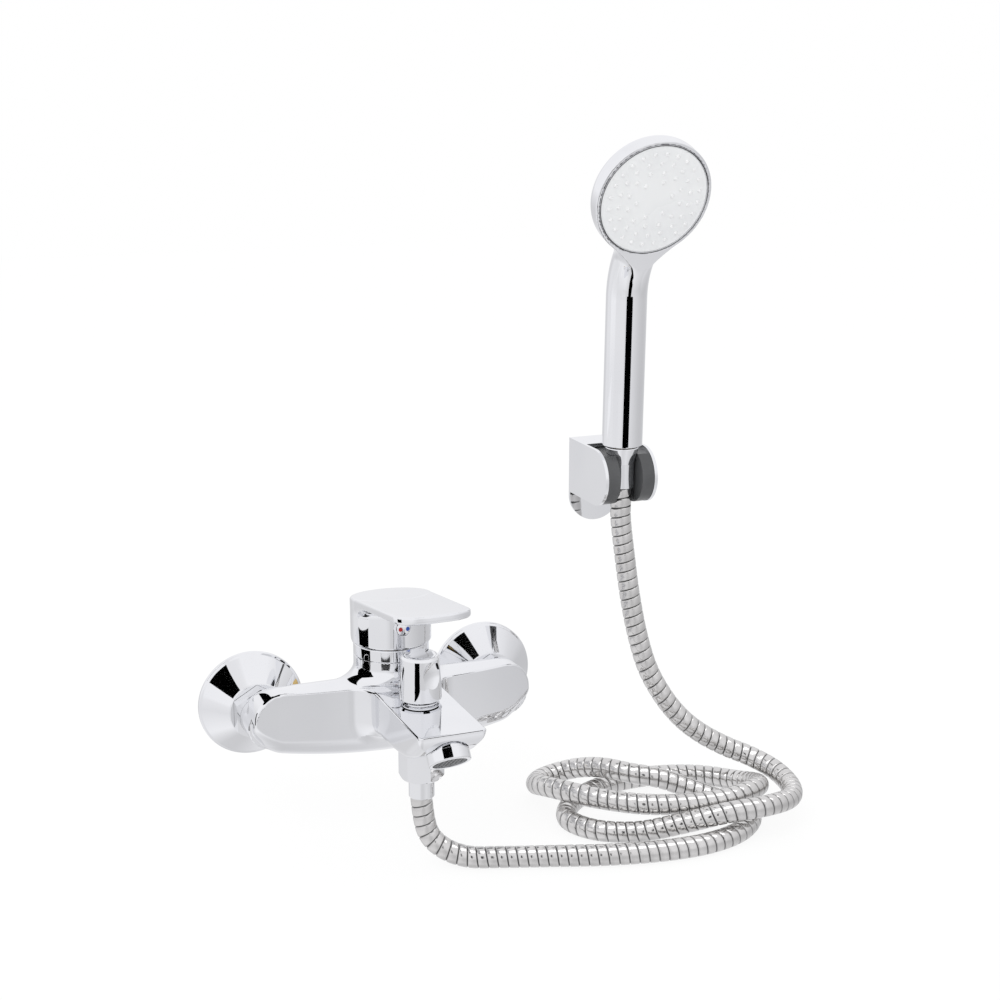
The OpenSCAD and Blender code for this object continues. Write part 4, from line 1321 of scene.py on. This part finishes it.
    def _lamp(self) -> None:
        """Adds one large soft lamp above and to the left, which polished metal doesn't mirror."""
        lamp = self._area_lamp("soft_lamp", self.lamp_place, (1.6, 1.2), 9.0)
        aim = Vector(self.lamp_aim) - Vector(self.lamp_place)
        lamp.rotation_euler = aim.to_track_quat("-Z", "Y").to_euler()
        lamp.visible_glossy = False

    def _strip_lamp(self) -> None:
        """Adds a lamp above that only the hose mirrors, as a bright line along its top."""
        lamp = self._area_lamp("strip_lamp", self.strip_place, (1.8, 0.45), 4.0)
        lit = bpy.data.collections.new("strip_lamp_lights")
        lit.objects.link(bpy.data.objects["wound_hose"])
        lamp.light_linking.receiver_collection = lit


@dataclass
class ShowerHose:
    """The wound metal hose, with the route that its solid has.

    The strip is wound as a helix: each turn is a smooth band with a narrow groove beside it.
    """

    start: Point = (0.0, -99.0, -23.5)
    finish: Point = (153.5, -40.0, 128.0)
    diameter: float = 12.8 * MM
    bore: float = 9.8 * MM
    rib_depth: float = 0.7 * MM
    turns: int = 208
    sides: int = 28
    rows: int = 8
    steps: int = 10
    exit: Point = (0.0, -0.099, -0.0235)
    bend_from: Point = (0.1535, -0.040, 0.0)
    bend_to: Point = (0.1535, -0.040, 0.125)
    loops: Sequence[Point] = (
        (3, -100.5, -56), (11, -104.5, -66), (24, -110, -71.5), (42, -117, -72), (70, -127, -72),
        (102, -138, -72), (134, -145, -72), (163, -146, -72), (188, -139, -72), (205, -124, -72),
        (207, -106, -72), (198, -92, -71), (184, -82, -66), (168, -74, -60), (152, -65, -57.5),
        (139, -50, -57.5), (129, -36, -61.5), (117, -29, -65.5), (104, -32, -66.5),
        (96, -43, -64.5),
        (95, -57, -60), (101, -73, -57.5), (115, -91, -57.5), (138, -109, -58), (165, -119, -58),
        (191, -121, -57.5), (213, -113, -58), (225, -95, -64), (223, -71, -71), (206, -53, -72),
        (182, -44, -72), (155, -43, -72), (129, -51, -72), (109, -66, -72), (100, -85, -72),
        (110, -105, -72), (131, -118, -71), (154, -129, -65), (179, -140, -57.5), (206, -141, -57),
        (228, -130, -60), (239, -112, -61), (239, -93, -58), (231, -77, -54), (217, -68, -48),
        (202, -62, -39), (189, -58, -27.5), (178, -54, -12.5), (169, -50, 6), (163, -47, 28),
        (159, -44, 52), (156, -41.5, 78))
    band: Sequence[tuple[float, float]] = (
        (0.00, 1.00), (0.05, 1.00), (0.09, 0.30), (0.17, 0.04),
        (0.50, 0.00), (0.82, 0.03), (0.93, 0.15), (0.97, 0.55))

    def route(self) -> list[Vector]:
        """Follows the route points with a smooth curve through each.

        Returns:
            Closely spaced points along the centreline, in metres.
        """
        first, last = Vector(self.start), Vector(self.finish)
        points = [first, first - Vector((0, 0, 14))]
        points += [Vector(p) for p in self.loops]
        points += [last - Vector((0, 0, 26)), last - Vector((0, 0, 13)), last]
        padded = [2 * points[0] - points[1], *points, 2 * points[-1] - points[-2]]
        line = []
        for a, b, c, d in zip(padded, padded[1:], padded[2:], padded[3:]):
            for k in range(self.steps):
                t = k / self.steps
                line.append(0.5 * (2 * b + (c - a) * t + (2 * a - 5 * b + 4 * c - d) * t * t
                                   + (3 * b - a - 3 * c + d) * t * t * t))
        line.append(points[-1])
        return [p * MM for p in line]

    def build(self) -> bpy.types.Object:
        """Returns:
            The hose piece.
        """
        line = self.route()
        length = sum((b - a).length for a, b in zip(line, line[1:]))
        guide = self._guide(line)
        tree = self._tree()
        material = STEEL.material()
        shared = {"Sides": self.sides, "Length": length, "Finish": material}
        outer = grown_mesh("hose_outside", guide, tree, {
            "Radius": self.diameter / 2, "Groove Depth": self.rib_depth, "Turns": self.turns,
            **shared})
        inner = grown_mesh("hose_inside", guide, tree, {
            "Radius": self.bore / 2, "Groove Depth": 0.0, "Turns": self.turns // 4, **shared})
        bpy.data.objects.remove(guide)
        mesh = self._joined(outer, inner)
        hose = new_object("wound_hose", mesh)
        mesh.materials.append(material)
        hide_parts("hose")
        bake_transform(hose)
        LOG.info("%s: %.0f mm long, %d faces", hose.name, length / MM, len(mesh.polygons))
        return hose

    def _guide(self, line: Sequence[Vector]) -> bpy.types.Object:
        """Makes the centreline as a poly curve for the tree to sample.

        Args:
            line: Points of the centreline.

        Returns:
            The guide curve's object.
        """
        data = bpy.data.curves.new("hose_guide", "CURVE")
        data.dimensions = "3D"
        spline = data.splines.new("POLY")
        spline.points.add(len(line) - 1)
        for point, place in zip(spline.points, line):
            point.co = (*place, 1.0)
        guide = bpy.data.objects.new("hose_guide", data)
        bpy.context.scene.collection.objects.link(guide)
        return guide

    def _tree(self) -> bpy.types.NodeTree:
        """Builds the tree that winds a strip round a curve.

        Returns:
            The Geometry Nodes tree.
        """
        build = Growth("wind_strip", (
            ("Radius", "Float"), ("Groove Depth", "Float"), ("Turns", "Int"),
            ("Sides", "Int"), ("Length", "Float"), ("Finish", "Material")))
        given = build.given
        around = build.math("ADD", given["Sides"], 1.0)
        along = build.math("MULTIPLY", build.math("ADD", given["Turns"], 1.0), float(self.rows))
        grid = build.add("GeometryNodeMeshGrid", {
            "Vertices X": build.math("ADD", along, 1.0), "Vertices Y": around})
        index = build.add("GeometryNodeInputIndex").outputs[0]
        row = build.math("FLOOR", build.math("DIVIDE", build.math("ADD", index, 0.5), around))
        column = build.math("SUBTRACT", index, build.math("MULTIPLY", row, around))
        turn = build.math("DIVIDE", build.math("ADD", row, 0.5), float(self.rows))
        turn = build.math("FLOOR", turn)
        step = build.math("SUBTRACT", row, build.math("MULTIPLY", turn, float(self.rows)))
        share = build.math("DIVIDE", column, given["Sides"])
        reach, drop = self._band_fields(build, step)
        place = build.math("ADD", build.math("ADD", turn, reach), share)
        place = build.math("SUBTRACT", place, 1.0)
        pitch = build.math("DIVIDE", given["Length"], given["Turns"])
        far = build.math("MAXIMUM", build.math("MULTIPLY", place, pitch), 0.0)
        far = build.math("MINIMUM", far, given["Length"])
        last = build.math("SUBTRACT", given["Length"], 1e-6)
        inside = build.math("MULTIPLY", build.math("GREATER_THAN", far, 1e-6),
                            build.math("LESS_THAN", far, last))
        groove = build.math("MULTIPLY", drop, inside)
        radius = build.math("SUBTRACT", given["Radius"],
                            build.math("MULTIPLY", groove, given["Groove Depth"]))
        sample = build.add("GeometryNodeSampleCurve", {
            "Curves": given["Geometry"], "Length": far}, mode="LENGTH", use_all_curves=False)
        normal, tangent = sample.outputs["Normal"], sample.outputs["Tangent"]
        across = build.vector("CROSS_PRODUCT", tangent, normal)
        angle = build.math("MULTIPLY", share, 2.0 * math.pi)
        out = build.vector("ADD", build.scaled(normal, build.math("COSINE", angle)),
                           build.scaled(across, build.math("SINE", angle)))
        spot = build.vector("ADD", sample.outputs["Position"], build.scaled(out, radius))
        # The groove's depth share is stored for the steel finish, which paints shade into the
        # grooves with it
        keep = build.add("GeometryNodeStoreNamedAttribute", data_type="FLOAT", domain="POINT")
        build.feed(keep.inputs["Geometry"], grid.outputs["Mesh"])
        build.feed(keep.inputs["Name"], STEEL.groove)
        build.feed(keep.inputs["Value"], groove)
        move = build.add("GeometryNodeSetPosition", {
            "Geometry": keep.outputs["Geometry"], "Position": spot})
        merge = build.add("GeometryNodeMergeByDistance", {
            "Geometry": move.outputs["Geometry"], "Distance": SLIVER})
        return build.end(merge.outputs["Geometry"])

    def _band_fields(self, build: Tree, step: bpy.types.NodeSocket
                     ) -> tuple[bpy.types.NodeSocket, bpy.types.NodeSocket]:
        """Turns a row's number within its turn into its place along and its depth.

        Args:
            build: The tree.
            step: The row's number within the turn.

        Returns:
            The share of the pitch and the share of the groove depth.
        """
        made = []
        for part in (0, 1):
            pick = build.add("GeometryNodeIndexSwitch", data_type="FLOAT")
            while len(pick.index_switch_items) < len(self.band):
                pick.index_switch_items.new()
            build.feed(pick.inputs["Index"], step)
            for number, values in enumerate(self.band):
                pick.inputs[str(number)].default_value = values[part]
            made.append(pick.outputs[0])
        return made[0], made[1]

    def _joined(self, outer: bpy.types.Mesh, inner: bpy.types.Mesh) -> bpy.types.Mesh:
        """Joins the outside and the bore with a ring at each end.

        Args:
            outer: The outside mesh.
            inner: The bore mesh.

        Returns:
            One closed mesh.
        """
        bm = bmesh.new()
        bm.from_mesh(outer)
        bm.from_mesh(inner)
        rims = [e for e in bm.edges if e.is_boundary]
        middle = (Vector(self.start) + Vector(self.finish)) * (MM / 2)
        low = [e for e in rims if e.verts[0].co.z < middle.z]
        high = [e for e in rims if e.verts[0].co.z >= middle.z]
        for rim in (low, high):
            bmesh.ops.bridge_loops(bm, edges=rim)
        bmesh.ops.recalc_face_normals(bm, faces=bm.faces)
        for f in bm.faces:
            f.smooth = True
        mesh = bpy.data.meshes.new("wound_hose")
        bm.to_mesh(mesh)
        bm.free()
        return mesh


@dataclass
class SprayFace:
    """The soft nozzles of the hand shower, grown on rings of six more each."""

    centre: Point = (0.1535, -0.077, 0.3008)
    tilt: float = 111.0
    rings: int = 4
    first: float = 5.5 * MM
    step: float = 5.7 * MM
    foot_radius: float = 1.0 * MM
    tip_radius: float = 1.35 * MM
    tip_height: float = 0.9 * MM
    nozzle_foot: float = -3.5 * MM
    mat_radius: float = 33.9 * MM
    mat_low: float = -5.0 * MM
    mat_high: float = -3.0 * MM
    ring_turn: float = 10.0
    crease: float = 40.0

    def build(self) -> bpy.types.Object:
        """Grows the nozzles and their mat.

        Returns:
            The piece.
        """
        carrier = new_object("spray_seed", bpy.data.meshes.new("spray_seed"))
        mesh = grown_mesh("spray_nozzles", carrier, self._tree(), {
            "Rings": self.rings, "First Radius": self.first, "Ring Step": self.step,
            "Finish": NOZZLE.material()})
        bpy.data.objects.remove(carrier)
        bm = bmesh.new()
        bm.from_mesh(mesh)
        bmesh.ops.remove_doubles(bm, verts=bm.verts, dist=SLIVER)
        lean = Euler((math.radians(self.tilt), 0, 0)).to_matrix().to_4x4()
        bm.transform(Matrix.Translation(self.centre) @ lean)
        bmesh.ops.recalc_face_normals(bm, faces=bm.faces)
        smooth(bm, self.crease)
        bm.to_mesh(mesh)
        bm.free()
        piece = new_object("spray_nozzles", mesh)
        hang(piece, "nozzle_mat", Body.HANDSET)
        return piece

    def _tree(self) -> bpy.types.NodeTree:
        """Builds the tree that sets nozzles on rings.

        Returns:
            The Geometry Nodes tree.
        """
        build = Growth("ring_nozzles", (
            ("Rings", "Int"), ("First Radius", "Float"), ("Ring Step", "Float"),
            ("Finish", "Material")))
        rings = build.given["Rings"]
        count = build.math("MULTIPLY", rings, build.math("ADD", rings, 1.0))
        count = build.math("MULTIPLY", count, 3.0)
        index = build.add("GeometryNodeInputIndex").outputs[0]
        root = build.math("ADD", build.math("MULTIPLY", index, 4.0 / 3.0), 1.0001)
        root = build.math("SQRT", root)
        ring = build.math("FLOOR", build.math("MULTIPLY", build.math("ADD", root, 1.0), 0.5))
        before = build.math("MULTIPLY", ring, build.math("SUBTRACT", ring, 1.0))
        order = build.math("SUBTRACT", index, build.math("MULTIPLY", before, 3.0))
        sixth = build.math("DIVIDE", build.math("MULTIPLY", order, math.pi / 3.0), ring)
        angle = build.math("MULTIPLY", ring, math.radians(self.ring_turn))
        angle = build.math("ADD", sixth, angle)
        reach = build.math("MULTIPLY", ring, build.given["Ring Step"])
        reach = build.math("ADD", build.given["First Radius"], reach)
        spot = build.add("ShaderNodeCombineXYZ", {
            0: build.math("MULTIPLY", reach, build.math("COSINE", angle)),
            1: build.math("MULTIPLY", reach, build.math("SINE", angle)),
            2: self.nozzle_foot})
        points = build.add("GeometryNodePoints", {"Count": count, "Position": spot.outputs[0]})
        cone = build.add("GeometryNodeMeshCone", {
            "Vertices": 12, "Side Segments": 3, "Radius Top": self.foot_radius,
            "Radius Bottom": self.foot_radius, "Depth": -self.nozzle_foot})
        tip = build.add("GeometryNodeMeshCone", {
            "Vertices": 20, "Radius Top": 0.5 * self.tip_radius,
            "Radius Bottom": self.tip_radius, "Depth": self.tip_height})
        raised = build.add("GeometryNodeTransform", {
            "Geometry": tip.outputs["Mesh"], "Translation": (0.0, 0.0, -self.nozzle_foot)})
        nozzle = build.add("GeometryNodeJoinGeometry")
        for half in (cone.outputs["Mesh"], raised.outputs[0]):
            build.feed(nozzle.inputs[0], half)
        place = build.add("GeometryNodeInstanceOnPoints", {
            "Points": points.outputs[0], "Instance": nozzle.outputs[0]})
        mat = build.add("GeometryNodeMeshCylinder", {
            "Vertices": 96, "Radius": self.mat_radius, "Depth": self.mat_high - self.mat_low})
        lift = build.add("GeometryNodeTransform", {
            "Geometry": mat.outputs["Mesh"],
            "Translation": (0.0, 0.0, (self.mat_low + self.mat_high) / 2)})
        join = build.add("GeometryNodeJoinGeometry")
        for half in (place.outputs[0], lift.outputs[0]):
            build.feed(join.inputs[0], half)
        return build.end(join.outputs[0])


@dataclass
class SubAssembly:
    """Pieces of one sub-assembly: those shown as polished copies, and those inside.

    Attributes:
        name: The sub-assembly's name.
        shown: The copies that replace their solids.
        inside: Solids that stay as they are, with their finish.
    """

    name: str
    shown: Sequence[Union[PolishedCopy, Turned]]
    inside: Sequence[tuple[str, Finish]] = field(default_factory=tuple)

    def build(self, frame: dict) -> None:
        """Builds the copies and paints the solids that stay.

        Args:
            frame: The loaded frame.
        """
        for piece in self.shown:
            piece.build(frame)
        for node, finish in self.inside:
            mesh = frame["nodes"][node].data
            mesh.materials.clear()
            mesh.materials.append(finish.material())
        LOG.info("%s: %d shown, %d inside", self.name, len(self.shown), len(self.inside))


def wall_connections() -> SubAssembly:
    """Returns the two wall unions with their nuts and rosettes."""
    rosette = ((32.3, 0.2, 0.1), (32.3, 2.7, 0.9), (30.7, 3.4, 1.5), (17.0, 16.8, 2.0),
               (17.0, 18.0, 0.4), (13.65, 18.0, 0.2), (13.65, 16.6, 0.0), (15.8, 15.6, 0.0),
               (29.3, 2.8, 0.0), (31.1, 2.2, 0.0), (31.1, 0.2, 0.1))
    return SubAssembly("wall connections", [
        Turned("rosette_left", CHROME, Body.FIXTURE, (-75.0, 0.0, 0.0), (0.0, -1.0, 0.0), rosette),
        Turned("rosette_right", CHROME, Body.FIXTURE, (75.0, 0.0, 0.0), (0.0, -1.0, 0.0), rosette),
        PolishedCopy("union_nuts", CHROME, Body.FIXTURE),
        PolishedCopy("wall_union_left", BRASS, Body.FIXTURE),
        PolishedCopy("wall_union_right", BRASS, Body.FIXTURE),
    ], [("union_washers", RUBBER)])


def mixer() -> SubAssembly:
    """Returns the body casting with its cartridge and outlet pieces."""
    return SubAssembly("mixer", [
        Turned("tower_ring", CHROME, Body.FIXTURE, (0.0, -47.0, 0.0), (0.0, 0.0, 1.0), (
            (17.0, 38.0, 0.0), (22.5, 38.0, 0.5), (22.5, 45.4, 0.9), (18.0, 45.4, 0.3),
            (11.5, 47.8, 0.2), (11.5, 46.4, 0.0), (17.0, 43.8, 0.0))),
        PolishedCopy("diverter_bonnet", CHROME, Body.FIXTURE),
        Turned("aerator_ring", CHROME, Body.FIXTURE, (0.0, -146.7, 4.7), (0.0, 0.5878, 0.8090), (
            (9.8, 0.0, 0.2), (12.2, 0.0, 0.9), (12.2, 6.65, 0.1), (11.0, 6.65, 0.0),
            (11.0, 11.75, 0.2), (9.8, 11.75, 0.2))),
        PolishedCopy("outlet_nipple", CHROME, Body.FIXTURE),
        PolishedCopy("hose_nut", CHROME, Body.FIXTURE),
        PolishedCopy("ferrule", CHROME, Body.FIXTURE),
    ], [("cartridge_seal", RUBBER), ("cartridge_housing", WHITE), ("lower_disc", CERAMIC),
        ("cartridge_nut", BRASS), ("aerator_insert", GREY), ("aerator_washer", RUBBER),
        ("hose_washer", RUBBER), ("hose_tail", BRASS)])


def lever() -> SubAssembly:
    """Returns the lever with what it turns."""
    return SubAssembly("lever", [
        Turned("indicator_button", CHROME, Body.LEVER, (0.0, -68.4, 59.1), (0.0, -1.0, 0.0), (
            (0.0, 0.0, 0.0), (4.2, 0.0, 0.2), (4.2, 2.5, 0.2), (3.6, 2.86, 0.4), (2.8, 3.19, 0.4),
            (2.1, 3.42, 0.4), (1.2, 3.61, 0.4), (0.5, 3.69, 0.0), (0.0, 3.7, 0.0)), 96),
        PolishedCopy("hot_dot", RED, Body.LEVER),
        PolishedCopy("cold_dot", BLUE, Body.LEVER),
    ], [("upper_disc", CERAMIC), ("carrier", WHITE), ("spindle", BRASS), ("pivot_pin", BRASS),
        ("lever_screw", BRASS)])


def diverter() -> SubAssembly:
    """Returns the bath and shower diverter."""
    return SubAssembly("diverter", [
        PolishedCopy("diverter_knob", CHROME, Body.DIVERTER),
        Turned("knob_cap", CHROME, Body.DIVERTER, (0.0, -99.0, 51.6), (0.0, 0.0, 1.0), (
            (0.0, 0.0, 0.0), (9.25, 0.0, 0.2), (9.25, 1.1, 0.5), (8.2, 1.4, 0.8), (0.0, 1.6, 0.0))),
    ], [("diverter_stem", BRASS), ("diverter_spool", BRASS), ("spool_seal", RUBBER)])


def hand_shower() -> SubAssembly:
    """Returns the hand shower with the hose's cone nut."""
    return SubAssembly("hand shower", [
        Turned("cone_nut", CHROME, Body.HOSE_END, (153.5, -40.0, 122.7), (0.0, 0.0, 1.0), (
            (6.7, 0.0, 0.1), (7.7, 0.0, 0.5), (7.7, 15.2, 3.0), (10.4, 24.9, 0.6),
            (10.2, 25.7, 0.6), (8.35, 25.7, 0.1), (8.35, 17.7, 0.0), (5.3, 17.7, 0.0),
            (5.3, 5.6, 0.0), (6.7, 5.6, 0.0))),
        Turned("rim_ring", CHROME, Body.HANDSET, (153.5, -77.0, 300.8), (0.0, -0.9336, -0.3584), (
            (33.4, -3.0, 0.0), (34.25, -3.0, 0.0), (34.25, 0.3, 0.25), (33.4, 0.3, 0.25)), 192),
        PolishedCopy("faceplate", WHITE, Body.HANDSET),
    ], [("cone_tail", BRASS), ("cone_washer", RUBBER), ("diffuser", GREY),
        ("handset_inlet", BRASS)])


def bracket() -> SubAssembly:
    """Returns the wall bracket."""
    return SubAssembly("bracket", [
        PolishedCopy("bracket_plate", CHROME, Body.FIXTURE),
        PolishedCopy("bracket_cover", CHROME, Body.FIXTURE),
        PolishedCopy("bracket_fork", GREY, Body.FIXTURE),
        PolishedCopy("bracket_screws", CHROME, Body.FIXTURE),
    ])


def main() -> None:
    """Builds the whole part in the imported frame."""
    logging.basicConfig(level=logging.INFO, format="%(name)s: %(message)s")
    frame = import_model()
    StudioCamera().build()
    ShowerHose().build()
    for assembly in (wall_connections(), mixer(), lever(), diverter(), hand_shower(), bracket()):
        assembly.build(frame)
    for form in (BodyCasting(), LeverCasting(), HandsetCasting()):
        form.build()
    SprayFace().build()
    Studio().build()


if __name__ == "__main__":
    main()
